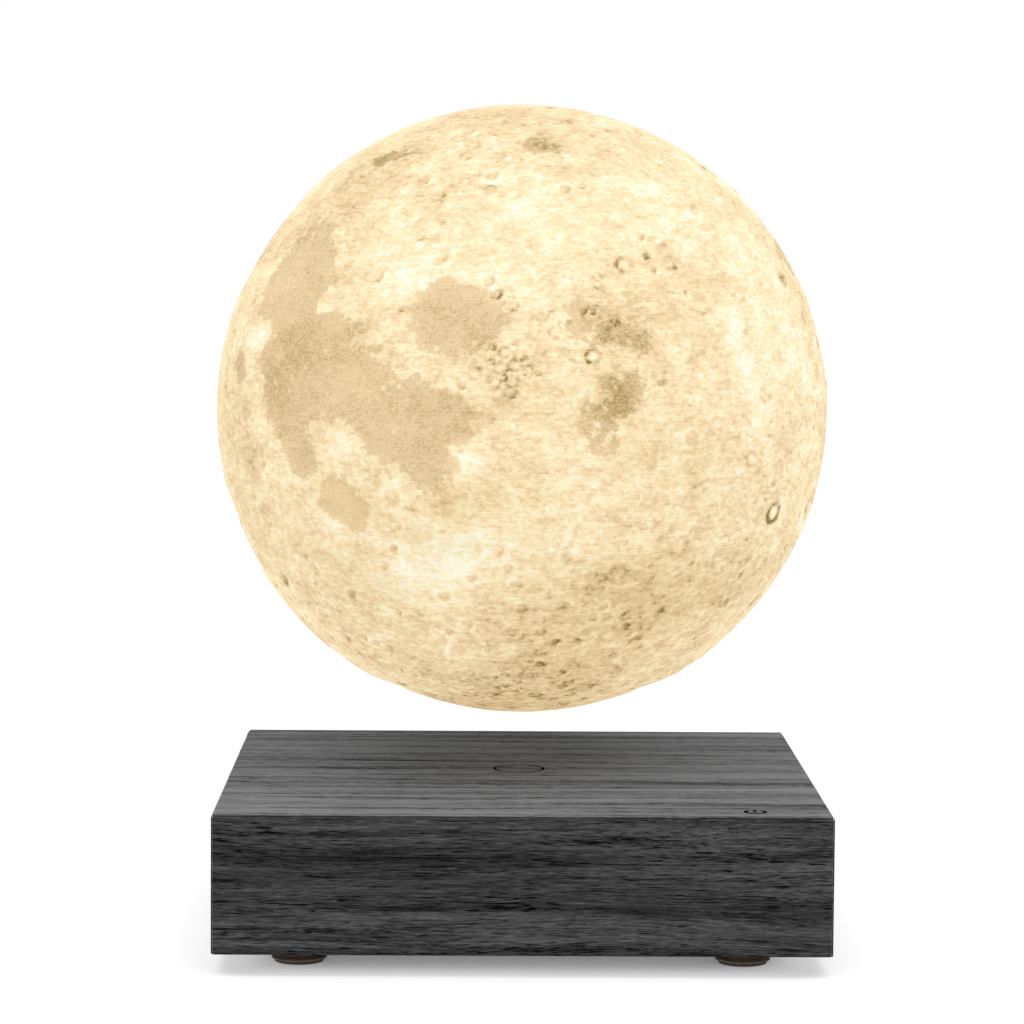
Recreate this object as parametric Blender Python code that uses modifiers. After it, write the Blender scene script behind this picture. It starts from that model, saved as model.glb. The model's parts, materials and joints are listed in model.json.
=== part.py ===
"""Levitating moon lamp: a hollow printed moon that floats over a veneered box.

Metres, +Z up. The origin is on the floor, under the middle of the box, and the front faces -Y.
The box holds the levitation module and the wireless power sender. The moon holds the float magnet,
the receiver and the light. The moon slides along Z on its magnetic field and turns freely about Z.
"""

import math
import random

import bmesh
import bpy
import numpy as np
from mathutils import Euler, Vector

# Fits
GAP = 0.0003                     # clearance between two pieces that touch
SCREW_CLEARANCE = 0.0003         # round a screw's shank

# Box
BASE_WIDTH = 0.140
BASE_DEPTH = 0.140
BASE_HEIGHT = 0.0316
PANEL_THICKNESS = 0.005
VENEER_ARRIS = 0.0002            # broken edge of the outer faces
BOTTOM_PLATE_THICKNESS = 0.003
BLOCK_SIZE = 0.020
BLOCK_HEIGHT = 0.014
BLOCK_CHAMFER = 0.007

# Feet
FOOT_HEIGHT = 0.005
FOOT_INSET = 0.019               # foot centre from the box's outer faces
FOOT_TOP_RADIUS = 0.0066
FOOT_NECK_RADIUS = 0.0052
FOOT_PAD_RADIUS = 0.0057
FOOT_PAD_HEIGHT = 0.0017
FOOT_RECESS_DEPTH = 0.0022

# Screws: head radius, head height, shank radius, length over all
FOOT_SCREW = (0.0030, 0.0015, 0.0015, 0.0160)
TRAY_SCREW = (0.0026, 0.0015, 0.00125, 0.0080)
CARRIER_SCREW = (0.0017, 0.0012, 0.0010, 0.0085)

# Levitation module
RING_MAGNET_RADIUS = 0.044
RING_MAGNET_BORE = 0.026
RING_MAGNET_HEIGHT = 0.010
TRAY_WALL = 0.0016
TRAY_DEPTH = 0.0116              # inside
EAR_THICKNESS = 0.0026
EAR_RADIUS = 0.0042
EAR_REACH = 0.0046               # ear hole centre from the tray's outer wall
COIL_COUNT = 4
COIL_PITCH_RADIUS = 0.016
COIL_FLANGE_RADIUS = 0.0094
COIL_HUB_RADIUS = 0.0042
COIL_HUB_WALL = 0.0010
COIL_FLANGE = 0.0010
COIL_HEIGHT = 0.0097
SENSOR_BOARD_RADIUS = 0.0235
SENSOR_BOARD_THICKNESS = 0.0010
SENSOR_SIZE = (0.0041, 0.0016, 0.0030)
SENSOR_OFFSET = 0.0032

# Wireless power sender
POCKET_DEPTH = 0.0025
TRANSMIT_COIL_INSET = 0.0010     # its rim inside the ring magnet's rim
TRANSMIT_COIL_BORE = 0.0280
TRANSMIT_COIL_THICKNESS = 0.0012
POCKET_MARGIN = 0.0006           # pocket wall round the coil
CHANNEL_WIDTH = 0.008            # lead channel from the pocket
CHANNEL_REACH = 0.0115           # its far end past the control board's side

# Control board
BOARD_THICKNESS = 0.0016
BOARD_CLEARANCE = 0.0025         # under the board
BOARD_SIDE_MARGIN = 0.0027       # to the corner blocks
BOARD_FRONT_MARGIN = 0.017       # to the front wall
BOARD_BACK_MARGIN = 0.001        # to the back wall
POST_INSET = 0.00187             # stake posts' middle inside the tray's wall
POST_RADIUS = 0.0025
STAKE_RADIUS = 0.0012
STAKE_HEAD_RADIUS = 0.0021
STAKE_HEAD_HEIGHT = 0.0007
CAPACITOR_RADIUS = 0.0040
CAPACITOR_HEIGHT = 0.0052
CAPACITOR_X = 0.026
CAPACITOR_INSET = 0.010          # from the board's back edge
SOCKET_HEIGHT = 0.0034
SOCKET_SIZE = 0.0060
SOCKET_INSET = 0.0006            # its mouth from the board's edge
SOCKET_LEAD_HEIGHT = 0.0018      # a lead's middle above the board
TOUCH_SOCKET_X = 0.030
CHIP_SINK = 0.0005               # how far a chip's solid reaches into its board
# Chips and coils on the control board: middle x, middle y, size x, size y, height above the board
CONTROL_CHIPS = (
    ("controller", 0, -0.012, 0.0070, 0.0070, 0.0012),
    ("coil_driver_1", -0.022, -0.010, 0.0050, 0.0062, 0.0016),
    ("coil_driver_2", 0.022, -0.010, 0.0050, 0.0062, 0.0016),
    ("inductor", 0, 0.032, 0.0073, 0.0073, 0.0040),
)

# Power inlet
JACK_SIZE = (0.0090, 0.0135, 0.0110)
JACK_BORE_RADIUS = 0.00315
JACK_BORE_DEPTH = 0.0095
JACK_PIN_RADIUS = 0.00105
JACK_PIN_RECESS = 0.0024         # pin tip behind the jack's face
JACK_PIN_ROOT = 0.0020           # pin root past the end of the bore
INLET_RADIUS = 0.006

# Touch switch
TOUCH_SIDE = 0.0173              # middle of the power symbol from the right face
TOUCH_EDGE = 0.0085              # its middle from the front face
TOUCH_BOARD_SIZE = (0.0120, 0.0064, 0.0012)
TOUCH_CHIP_SIZE = (0.0030, 0.0028, 0.0012)

# Moon
MOON_RADIUS = 0.07336
HOVER_GAP = 0.01434              # lowest point of the round moon above the box
SHELL_WALL = 0.0020
MOON_FLAT_RADIUS = 0.010         # flat under the cap, on which the moon can stand
OPENING_RADIUS = 0.0290
CAP_RAISE = 0.0007               # the cap and the rim round it lie this far inside the round moon
RIM_REACH = 0.007                # width of the rim that leads in to the cap
COLLAR_WALL = 0.0020
COLLAR_LEDGE = 0.0044            # flange inside the opening, on which the carrier seats
COLLAR_FLANGE = 0.0030
BOSS_RADIUS = 0.0026
BOSS_HEIGHT = 0.0040
BOSS_INSET = 0.0028              # boss centre inside the opening's wall
BOSS_ANGLES = (90, 210, 330)

# Float unit in the moon
FLOAT_MAGNET_RADIUS = 0.018
FLOAT_MAGNET_HEIGHT = 0.008
CUP_WALL = 0.0016
CARRIER_THICKNESS = 0.0026
CARRIER_ROOF = 0.0015
CUP_RISE = 0.0024                # top of the cup's roof above the plate
CUP_DROP = 0.0042                # cup below the plate
COUNTERBORE_DEPTH = 0.0016
CAP_WALL = 0.0015
CAP_RIM = 0.0023
CAP_RIM_HEIGHT = 0.0027
CAP_STEPS = 4
RECEIVER_COIL_MARGIN = 0.0008    # to the cap's rim
RECEIVER_COIL_THICKNESS = 0.0014
RECEIVER_BOARD_THICKNESS = 0.0010
# Chips and coils on the receiver board: middle x, middle y, size x, size y, height above the board
RECEIVER_CHIPS = (
    ("rectifier", 0.0115, 0.0050, 0.0050, 0.0040, 0.0016),
    ("regulator", -0.0115, 0.0040, 0.0050, 0.0050, 0.0014),
    ("storage_choke", 0, -0.0125, 0.0060, 0.0060, 0.0030),
)
LIGHT_POST_RADIUS = 0.0060
LIGHT_POST_BORE = 0.0044
LIGHT_POST_HEIGHT = 0.0098
LIGHT_BOARD_RADIUS = 0.0130
LIGHT_BOARD_THICKNESS = 0.0012
LIGHT_CHIP_SIZE = (0.0035, 0.0028, 0.0014)
LIGHT_CHIP_COUNT = 6
LIGHT_CHIP_PITCH = 0.0088

# Leads
SENSOR_LEAD_RADIUS = 0.0011
SENSOR_LEAD_PLACE = 0.0140       # from the middle in X and Y
TRANSMIT_LEAD_RADIUS = 0.0009
TOUCH_LEAD_RADIUS = 0.0008
RECEIVER_LEAD_RADIUS = 0.0008
RECEIVER_LEAD_MARGIN = 0.0008    # from its hole to the magnet cup

# Relief of the moon: latitude, longitude and radius in degrees of the moon's own map
SEA_DEPTH = 0.0005
SEA_SHORE = 0.25                 # width of a sea's shore, as a share of its radius
SEAS = (
    (17, 60, 8.0),      # Crises
    (28, 22, 9.5),      # Serenity
    (13, 25, 10.5),     # Tranquillity, west
    (8, 37, 8.0),       # Tranquillity, east
    (-2, 52, 10.0),     # Fecundity
    (-15, 35, 6.0),     # Nectar
    (14, 89, 5.5),      # the Edge
    (0, 89, 5.5),       # eastern limb
    (36, -22, 15.0),    # Showers
    (19, -52, 17.0),    # the ocean
    (-21, -17, 10.5),   # Clouds
    (-24, -39, 6.5),    # Moisture
    (-19, -93, 5.0),    # the East
    (27, 150, 4.5),     # far side, north
    (-34, 163, 4.5),    # far side, south
)
CRATER_SLOPE = 0.24              # depth as a share of the radius
CRATER_DEPTH = 0.0011            # deepest
CRATER_RIM = 0.40                # rim height as a share of the depth
CRATER_APRON = 1.7               # outer foot of the rim, as a share of the radius
CRATERS = (
    (-21, 127.5, 2.9),
    (-25, 60, 2.6),
    (-28.5, 79.5, 2.9),
    (-31, 90, 2.6),
    (-35, 84.5, 2.5),
    (-42, 94.5, 2.4),
    (-47, 77, 2.4),
    (-51.5, 96, 2.6),
    (-27, 102.5, 2.4),
    (25, 93, 2.3),
    (27, 98, 1.8),
    (8, 82, 2.2),
    (28, 56, 2.3),
    (56.5, 82, 3.0),
    (53, 57.5, 2.4),
    (44, 65, 2.2),
    (-58, -14, 3.8),
    (-43, -11, 1.8),
    (10, -20, 1.9),
    (-9, -2, 2.8),
    (-44, -55, 3.4),
    (-5, -68, 3.0),
    (1, -129, 8.0),
    (-4, -157, 7.0),
    (-36, -152, 8.0),
    (6, 141, 5.2),
    (-20, 149, 4.4),
    (-31, 113, 3.4),
    (59, -146, 5.4),
    (-58, 137, 5.0),
)
SMALL_CRATERS = 66
SMALL_CRATER_RADII = (2.2, 4.0)  # degrees
CRATER_BOWL = 1.6                # steepness of the inner slope
LAND_ROUGHNESS = 0.00010
RELIEF_SEED = 7
RELIEF_LEVELS = 7                # icosphere subdivisions that the relief is made on
RELIEF_FACETS = 0.0415           # share of its facets that is kept
RELIEF_FADE = 0.1                # radians over which it fades out before the collar
CAVITY_LEVELS = 4                # icosphere subdivisions of the inside
MAP_TURN = (4.0, 1.6, -162.0)    # degrees: brings longitude 71 east to the front

# Sides of round pieces
FINE_SIDES = 28
ROUND_SIDES = 16
SMALL_SIDES = 12
SCREW_SIDES = 8
MERGE_DISTANCE = 0.00001
CUT_MARGIN = 0.002               # how far a cutter reaches past the wall it cuts

# Levels that follow, from the floor
BOX_BOTTOM = FOOT_HEIGHT
BOX_TOP = BOX_BOTTOM + BASE_HEIGHT
CEILING = BOX_TOP - PANEL_THICKNESS
PLATE_TOP = BOX_BOTTOM + BOTTOM_PLATE_THICKNESS
INNER_X = BASE_WIDTH / 2 - PANEL_THICKNESS
INNER_Y = BASE_DEPTH / 2 - PANEL_THICKNESS
FOOT_X = BASE_WIDTH / 2 - FOOT_INSET
FOOT_Y = BASE_DEPTH / 2 - FOOT_INSET
TRAY_TOP = CEILING - GAP
TRAY_INNER_RADIUS = RING_MAGNET_RADIUS + GAP
TRAY_OUTER_RADIUS = TRAY_INNER_RADIUS + TRAY_WALL
TRAY_FLOOR_TOP = TRAY_TOP - TRAY_DEPTH
TRAY_BOTTOM = TRAY_FLOOR_TOP - TRAY_WALL
EAR_PITCH = (TRAY_OUTER_RADIUS + EAR_REACH) / math.sqrt(2)
POST_PITCH = (TRAY_INNER_RADIUS - POST_INSET) / math.sqrt(2)
MODULE_FLOOR = TRAY_FLOOR_TOP + GAP
SENSOR_BOARD_BOTTOM = MODULE_FLOOR + COIL_HEIGHT + GAP
POCKET_TOP = CEILING + POCKET_DEPTH
TRANSMIT_COIL_RADIUS = RING_MAGNET_RADIUS - TRANSMIT_COIL_INSET
POCKET_RADIUS = TRANSMIT_COIL_RADIUS + POCKET_MARGIN
TRANSMIT_COIL_TOP = POCKET_TOP - GAP
BOARD_BOTTOM = PLATE_TOP + BOARD_CLEARANCE
BOARD_TOP = BOARD_BOTTOM + BOARD_THICKNESS
ON_BOARD = BOARD_TOP + GAP
BOARD_HALF_WIDTH = INNER_X - GAP - BLOCK_SIZE - BOARD_SIDE_MARGIN
BOARD_FRONT = INNER_Y - BOARD_FRONT_MARGIN
BOARD_BACK = INNER_Y - BOARD_BACK_MARGIN
CHANNEL_END = BOARD_HALF_WIDTH + CHANNEL_REACH
SOCKET_LEAD_Z = BOARD_TOP + SOCKET_LEAD_HEIGHT
JACK_FACE = INNER_Y - GAP
JACK_AXIS_Z = ON_BOARD + JACK_SIZE[2] / 2
TOUCH_X = BASE_WIDTH / 2 - TOUCH_SIDE
TOUCH_Y = TOUCH_EDGE - BASE_DEPTH / 2
MOON_Z = BOX_TOP + HOVER_GAP + MOON_RADIUS

# Levels in the moon, from its centre
OPENING_Z = CAP_RAISE - math.sqrt(MOON_RADIUS ** 2 - OPENING_RADIUS ** 2)
SEAT_Z = OPENING_Z + CAP_RIM_HEIGHT + GAP + CARRIER_THICKNESS + GAP
CARRIER_TOP = SEAT_Z - GAP
CARRIER_BOTTOM = CARRIER_TOP - CARRIER_THICKNESS
CARRIER_RADIUS = OPENING_RADIUS - GAP
COLLAR_RADIUS = OPENING_RADIUS + COLLAR_WALL
COLLAR_BORE = OPENING_RADIUS - COLLAR_LEDGE
BOSS_PITCH_RADIUS = OPENING_RADIUS - BOSS_INSET
CUP_TOP = CARRIER_TOP + CUP_RISE
CUP_BORE = FLOAT_MAGNET_RADIUS + GAP
CUP_RADIUS = CUP_BORE + CUP_WALL
FLOAT_MAGNET_TOP = CUP_TOP - CARRIER_ROOF - GAP
RECEIVER_COIL_INNER = CUP_RADIUS + GAP
RECEIVER_COIL_OUTER = CARRIER_RADIUS - CAP_RIM - RECEIVER_COIL_MARGIN
RECEIVER_BOARD_RADIUS = CUP_RADIUS
RECEIVER_LEAD_X = CUP_RADIUS + RECEIVER_LEAD_MARGIN + RECEIVER_LEAD_RADIUS + GAP
RECEIVER_BOARD_BOTTOM = CUP_TOP + GAP
RECEIVER_BOARD_TOP = RECEIVER_BOARD_BOTTOM + RECEIVER_BOARD_THICKNESS
LIGHT_POST_BOTTOM = RECEIVER_BOARD_TOP + GAP
LIGHT_BOARD_BOTTOM = LIGHT_POST_BOTTOM + LIGHT_POST_HEIGHT + GAP

# Finishes: colour, roughness, metallic
FINISHES = {
    "black_stained_veneer": ((0.050, 0.050, 0.052), 0.62, 0.0),
    "black_moulding": ((0.020, 0.020, 0.022), 0.50, 0.0),
    "pine_block": ((0.520, 0.360, 0.190), 0.75, 0.0),
    "brown_rubber": ((0.070, 0.045, 0.035), 0.70, 0.0),
    "zinc_screw": ((0.600, 0.600, 0.610), 0.35, 1.0),
    "ferrite": ((0.060, 0.060, 0.065), 0.60, 0.0),
    "soft_iron": ((0.330, 0.330, 0.340), 0.45, 1.0),
    "white_nylon": ((0.780, 0.770, 0.730), 0.50, 0.0),
    "enamelled_copper": ((0.600, 0.220, 0.080), 0.35, 1.0),
    "green_board": ((0.020, 0.150, 0.060), 0.40, 0.0),
    "white_board": ((0.850, 0.850, 0.830), 0.45, 0.0),
    "nickel": ((0.700, 0.680, 0.640), 0.25, 1.0),
    "capacitor_can": ((0.550, 0.560, 0.580), 0.30, 1.0),
    "red_lead": ((0.500, 0.030, 0.020), 0.50, 0.0),
    "printed_moon": ((0.880, 0.760, 0.540), 0.55, 0.0),
}


def clear_scene():
    for obj in list(bpy.data.objects):
        bpy.data.objects.remove(obj, do_unlink=True)


def new_collection(name):
    collection = bpy.data.collections.new(name)
    bpy.context.scene.collection.children.link(collection)
    return collection


def finish_material(name):
    """The named finish as a material, made once."""
    material = bpy.data.materials.get(name)
    if material:
        return material
    colour, roughness, metallic = FINISHES[name]
    material = bpy.data.materials.new(name)
    material.use_nodes = True
    shader = material.node_tree.nodes["Principled BSDF"]
    shader.inputs["Base Color"].default_value = (*colour, 1.0)
    shader.inputs["Roughness"].default_value = roughness
    shader.inputs["Metallic"].default_value = metallic
    return material


def add_part(name, mesh, finish, location=(0, 0, 0), turn=(0, 0, 0), parent=None):
    """A visible piece of the lamp."""
    obj = bpy.data.objects.new(name, mesh)
    lamp_parts.objects.link(obj)
    obj.location = location
    obj.rotation_euler = [math.radians(angle) for angle in turn]
    obj.parent = parent
    if not mesh.materials:
        mesh.materials.append(finish_material(finish))
    return obj


def add_cutter(name, mesh, location=(0, 0, 0), turn=(0, 0, 0), parent=None):
    """A hidden shape that a Boolean cuts with or joins."""
    obj = bpy.data.objects.new(name, mesh)
    lamp_cutters.objects.link(obj)
    obj.location = location
    obj.rotation_euler = [math.radians(angle) for angle in turn]
    obj.parent = parent
    obj.hide_render = True
    obj.display_type = "WIRE"
    return obj


def copy_part(source, name, location, turn=(0, 0, 0)):
    """One more of a repeated piece, which shares its mesh."""
    obj = source.copy()
    obj.name = name
    lamp_parts.objects.link(obj)
    obj.location = location
    obj.rotation_euler = [math.radians(angle) for angle in turn]
    return obj


def mesh_from(bm, name, smooth_angle=None):
    mesh = bpy.data.meshes.new(name)
    bm.to_mesh(mesh)
    bm.free()
    if smooth_angle:
        mesh.shade_smooth()
        mesh.set_sharp_from_angle(angle=math.radians(smooth_angle))
    return mesh


def box_mesh(name, low, high):
    """A box between two opposite corners."""
    bm = bmesh.new()
    bmesh.ops.create_cube(bm, size=1)
    size = Vector(high) - Vector(low)
    bmesh.ops.scale(bm, vec=size, verts=bm.verts)
    bmesh.ops.translate(bm, vec=(Vector(low) + Vector(high)) / 2, verts=bm.verts)
    return mesh_from(bm, name)


def cylinder_mesh(name, radius, bottom, top, sides=ROUND_SIDES):
    bm = bmesh.new()
    bmesh.ops.create_cone(
        bm, cap_ends=True, segments=sides, radius1=radius, radius2=radius, depth=top - bottom
    )
    bmesh.ops.translate(bm, vec=(0, 0, (top + bottom) / 2), verts=bm.verts)
    return mesh_from(bm, name)


def turned_mesh(name, profile, is_ring):
    """A profile of (radius, height) points, outer side from top to bottom, for a Screw modifier."""
    count = len(profile)
    edges = [(i, i + 1) for i in range(count - 1)]
    if is_ring:
        edges.append((count - 1, 0))
    mesh = bpy.data.meshes.new(name)
    mesh.from_pydata([(radius, 0, height) for radius, height in profile], edges, [])
    return mesh


def add_screw_modifier(obj, sides):
    screw = obj.modifiers.new("Turn", "SCREW")
    screw.axis = "Z"
    screw.angle = math.tau
    screw.steps = sides
    screw.render_steps = sides
    screw.use_merge_vertices = True
    screw.merge_threshold = MERGE_DISTANCE
    screw.use_smooth_shade = True
    return screw


def turned_part(name, profile, finish, location=(0, 0, 0), sides=ROUND_SIDES, is_ring=False,
                turn=(0, 0, 0), parent=None):
    """A turned piece. Its profile ends on the axis, or closes on itself for a ring."""
    mesh = turned_mesh(name, profile, is_ring)
    obj = add_part(name, mesh, finish, location, turn, parent)
    add_screw_modifier(obj, sides)
    return obj


def turned_cutter(name, profile, location=(0, 0, 0), sides=ROUND_SIDES, turn=(0, 0, 0), parent=None):
    mesh = turned_mesh(name, profile, False)
    obj = add_cutter(name, mesh, location, turn, parent)
    add_screw_modifier(obj, sides)
    return obj


def ring_profile(inner, outer, bottom, top):
    return [(outer, top), (outer, bottom), (inner, bottom), (inner, top)]


def cut(obj, cutter):
    boolean = obj.modifiers.new("Cut " + cutter.name, "BOOLEAN")
    boolean.operation = "DIFFERENCE"
    boolean.object = cutter
    boolean.solver = "EXACT"


def join(obj, piece):
    boolean = obj.modifiers.new("Join " + piece.name, "BOOLEAN")
    boolean.operation = "UNION"
    boolean.object = piece
    boolean.solver = "EXACT"


def break_edges(obj, width, segments=1, angle=30):
    bevel = obj.modifiers.new("Broken edges", "BEVEL")
    bevel.width = width
    bevel.segments = segments
    bevel.limit_method = "ANGLE"
    bevel.angle_limit = math.radians(angle)


def smooth_route(points, spacing):
    """Points about this far apart on a smooth curve through the route's own points."""
    route = [Vector(point) for point in points]
    route = [2 * route[0] - route[1], *route, 2 * route[-1] - route[-2]]
    found = []
    for before, start, end, after in zip(route, route[1:], route[2:], route[3:]):
        steps = max(1, round((end - start).length / spacing))
        for step in range(steps):
            t = step / steps
            found.append(
                0.5 * (
                    2 * start
                    + (end - before) * t
                    + (2 * before - 5 * start + 4 * end - after) * t ** 2
                    + (3 * start - before - 3 * end + after) * t ** 3
                )
            )
    found.append(route[-2])
    return found


def lead_part(name, points, radius, finish, parent=None):
    """An insulated lead along a smooth route."""
    curve = bpy.data.curves.new(name, "CURVE")
    curve.dimensions = "3D"
    curve.bevel_depth = radius
    curve.bevel_resolution = 2
    curve.use_fill_caps = True
    spacing = 5 * radius
    route = smooth_route(points, spacing)
    spline = curve.splines.new("POLY")
    spline.points.add(len(route) - 1)
    for place, point in zip(spline.points, route):
        place.co = (*point, 1)
    obj = bpy.data.objects.new(name, curve)
    lamp_parts.objects.link(obj)
    obj.parent = parent
    curve.materials.append(finish_material(finish))
    return obj


def corners(x, y):
    """The four corners with their names and the turn that brings the front right corner there."""
    return (
        ("front_right", (x, -y), 0),
        ("back_right", (x, y), 90),
        ("back_left", (-x, y), 180),
        ("front_left", (-x, -y), 270),
    )


def mitred_panel_mesh(name, width, height, mitred):
    """A panel whose outer face lies on Z = 0, mitred at 45 degrees on the sides named in mitred.

    Each mitred side gives up half a glue line, measured across the joint.
    """
    glue = GAP / math.sqrt(2)
    bm = bmesh.new()
    bmesh.ops.create_cube(bm, size=1)
    for vert in bm.verts:
        is_inner = vert.co.z < 0
        left_right = "right" if vert.co.x > 0 else "left"
        top_bottom = "top" if vert.co.y > 0 else "bottom"
        across = width / 2
        if left_right in mitred:
            across -= glue + (PANEL_THICKNESS if is_inner else 0)
        along = height / 2
        if top_bottom in mitred:
            along -= glue + (PANEL_THICKNESS if is_inner else 0)
        vert.co.x = math.copysign(across, vert.co.x)
        vert.co.y = math.copysign(along, vert.co.y)
        vert.co.z = -PANEL_THICKNESS if is_inner else 0
    return mesh_from(bm, name)


def make_box():
    """The veneered box: a top and four walls, mitred along every outer edge."""
    top_mesh = mitred_panel_mesh("top_panel", BASE_WIDTH, BASE_DEPTH, ("left", "right", "top", "bottom"))
    top = add_part("top_panel", top_mesh, "black_stained_veneer", (0, 0, BOX_TOP))
    break_edges(top, VENEER_ARRIS)
    pocket = cylinder_mesh("coil_pocket", POCKET_RADIUS, CEILING - CUT_MARGIN, POCKET_TOP, FINE_SIDES)
    cut(top, add_cutter("coil_pocket", pocket))
    channel = box_mesh(
        "lead_channel",
        (0, -CHANNEL_WIDTH / 2, CEILING - CUT_MARGIN),
        (CHANNEL_END, CHANNEL_WIDTH / 2, POCKET_TOP),
    )
    cut(top, add_cutter("lead_channel", channel))
    pilot_top = TRAY_TOP - EAR_THICKNESS - TRAY_SCREW[1] + TRAY_SCREW[3]
    for corner, (x, y), _ in corners(EAR_PITCH, EAR_PITCH):
        pilot = cylinder_mesh(
            "tray_pilot", TRAY_SCREW[2] + SCREW_CLEARANCE, CEILING - CUT_MARGIN, pilot_top, SCREW_SIDES
        )
        cut(top, add_cutter("tray_pilot_" + corner, pilot, (x, y, 0)))

    wall_z = BOX_BOTTOM + BASE_HEIGHT / 2
    wall_mitres = ("left", "right", "top")
    wide = mitred_panel_mesh("wide_wall", BASE_WIDTH, BASE_HEIGHT, wall_mitres)
    deep = mitred_panel_mesh("deep_wall", BASE_DEPTH, BASE_HEIGHT, wall_mitres)
    finish = "black_stained_veneer"
    walls = (
        add_part("front_wall", wide, finish, (0, -BASE_DEPTH / 2, wall_z), (90, 0, 0)),
        add_part("back_wall", wide, finish, (0, BASE_DEPTH / 2, wall_z), (90, 0, 180)),
        add_part("right_wall", deep, finish, (BASE_WIDTH / 2, 0, wall_z), (90, 0, 90)),
        add_part("left_wall", deep, finish, (-BASE_WIDTH / 2, 0, wall_z), (90, 0, -90)),
    )
    for wall in walls:
        break_edges(wall, VENEER_ARRIS)
    inlet = cylinder_mesh("power_inlet", INLET_RADIUS, -CUT_MARGIN, PANEL_THICKNESS + CUT_MARGIN, FINE_SIDES)
    inlet_cutter = add_cutter("power_inlet", inlet, (0, BASE_DEPTH / 2, JACK_AXIS_Z), (90, 0, 0))
    cut(walls[1], inlet_cutter)


def make_bottom():
    """The bottom plate inside the walls, and a block glued into each corner that it screws to."""
    plate_mesh = box_mesh(
        "bottom_plate", (GAP - INNER_X, GAP - INNER_Y, BOX_BOTTOM), (INNER_X - GAP, INNER_Y - GAP, PLATE_TOP)
    )
    plate = add_part("bottom_plate", plate_mesh, "black_moulding")
    half = BLOCK_SIZE / 2
    bm = bmesh.new()
    bmesh.ops.create_cube(bm, size=1)
    bmesh.ops.scale(bm, vec=(BLOCK_SIZE, BLOCK_SIZE, BLOCK_HEIGHT), verts=bm.verts)
    inner = [
        edge for edge in bm.edges
        if all(vert.co.x < 0 and vert.co.y > 0 for vert in edge.verts)
    ]
    bmesh.ops.bevel(bm, geom=inner, offset=BLOCK_CHAMFER, segments=1, profile=0.5, affect="EDGES")
    block_mesh = mesh_from(bm, "corner_block")
    hole_radius = FOOT_SCREW[2] + SCREW_CLEARANCE
    block_z = PLATE_TOP + GAP + BLOCK_HEIGHT / 2
    for (corner, (x, y), turn), (_, (foot_x, foot_y), _) in zip(
        corners(INNER_X - GAP - half, INNER_Y - GAP - half), corners(FOOT_X, FOOT_Y)
    ):
        hole = cylinder_mesh(
            "foot_screw_hole", hole_radius, BOX_BOTTOM - CUT_MARGIN, PLATE_TOP + BLOCK_HEIGHT + CUT_MARGIN,
            SMALL_SIDES,
        )
        cutter = add_cutter("foot_screw_hole_" + corner, hole, (foot_x, foot_y, 0))
        cut(plate, cutter)
        block = add_part("corner_block_" + corner, block_mesh, "pine_block", (x, y, block_z), (0, 0, turn))
        cut(block, cutter)


def screw_profile(size):
    """A pan-head screw that points up, with its head's face on Z = 0."""
    head_radius, head_height, shank_radius, length = size
    return [
        (0, length),
        (shank_radius * 0.4, length),
        (shank_radius, length - shank_radius),
        (shank_radius, head_height),
        (head_radius, head_height),
        (head_radius, head_height * 0.35),
        (head_radius * 0.75, 0),
        (0, 0),
    ]


def make_feet():
    """Stepped rubber feet: a flared top, a groove and a flat pad, with a screw up through each."""
    top = FOOT_HEIGHT - GAP
    hole = FOOT_SCREW[2] + SCREW_CLEARANCE
    recess = FOOT_SCREW[0] + SCREW_CLEARANCE
    flare = FOOT_TOP_RADIUS - FOOT_NECK_RADIUS
    groove_top = FOOT_PAD_HEIGHT + 0.0005
    flare_height = top - groove_top
    profile = [
        (FOOT_TOP_RADIUS, top),
        (FOOT_TOP_RADIUS, top - 0.15 * flare_height),
        (FOOT_TOP_RADIUS - 0.35 * flare, top - 0.55 * flare_height),
        (FOOT_NECK_RADIUS, groove_top),
        (FOOT_NECK_RADIUS, FOOT_PAD_HEIGHT),
        (FOOT_PAD_RADIUS, FOOT_PAD_HEIGHT),
        (FOOT_PAD_RADIUS, 0.25 * FOOT_PAD_HEIGHT),
        (FOOT_PAD_RADIUS - 0.0003, 0),
        (recess, 0),
        (recess, FOOT_RECESS_DEPTH),
        (hole, FOOT_RECESS_DEPTH),
        (hole, top),
    ]
    screw_z = FOOT_RECESS_DEPTH - GAP - FOOT_SCREW[1]
    foot = None
    for corner, (x, y), _ in corners(FOOT_X, FOOT_Y):
        if foot is None:
            foot = turned_part("foot_" + corner, profile, "brown_rubber", (x, y, 0), ROUND_SIDES, True)
            screw = turned_part(
                "foot_screw_" + corner, screw_profile(FOOT_SCREW), "zinc_screw", (x, y, screw_z), SCREW_SIDES
            )
        else:
            copy_part(foot, "foot_" + corner, (x, y, 0))
            copy_part(screw, "foot_screw_" + corner, (x, y, screw_z))


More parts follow.
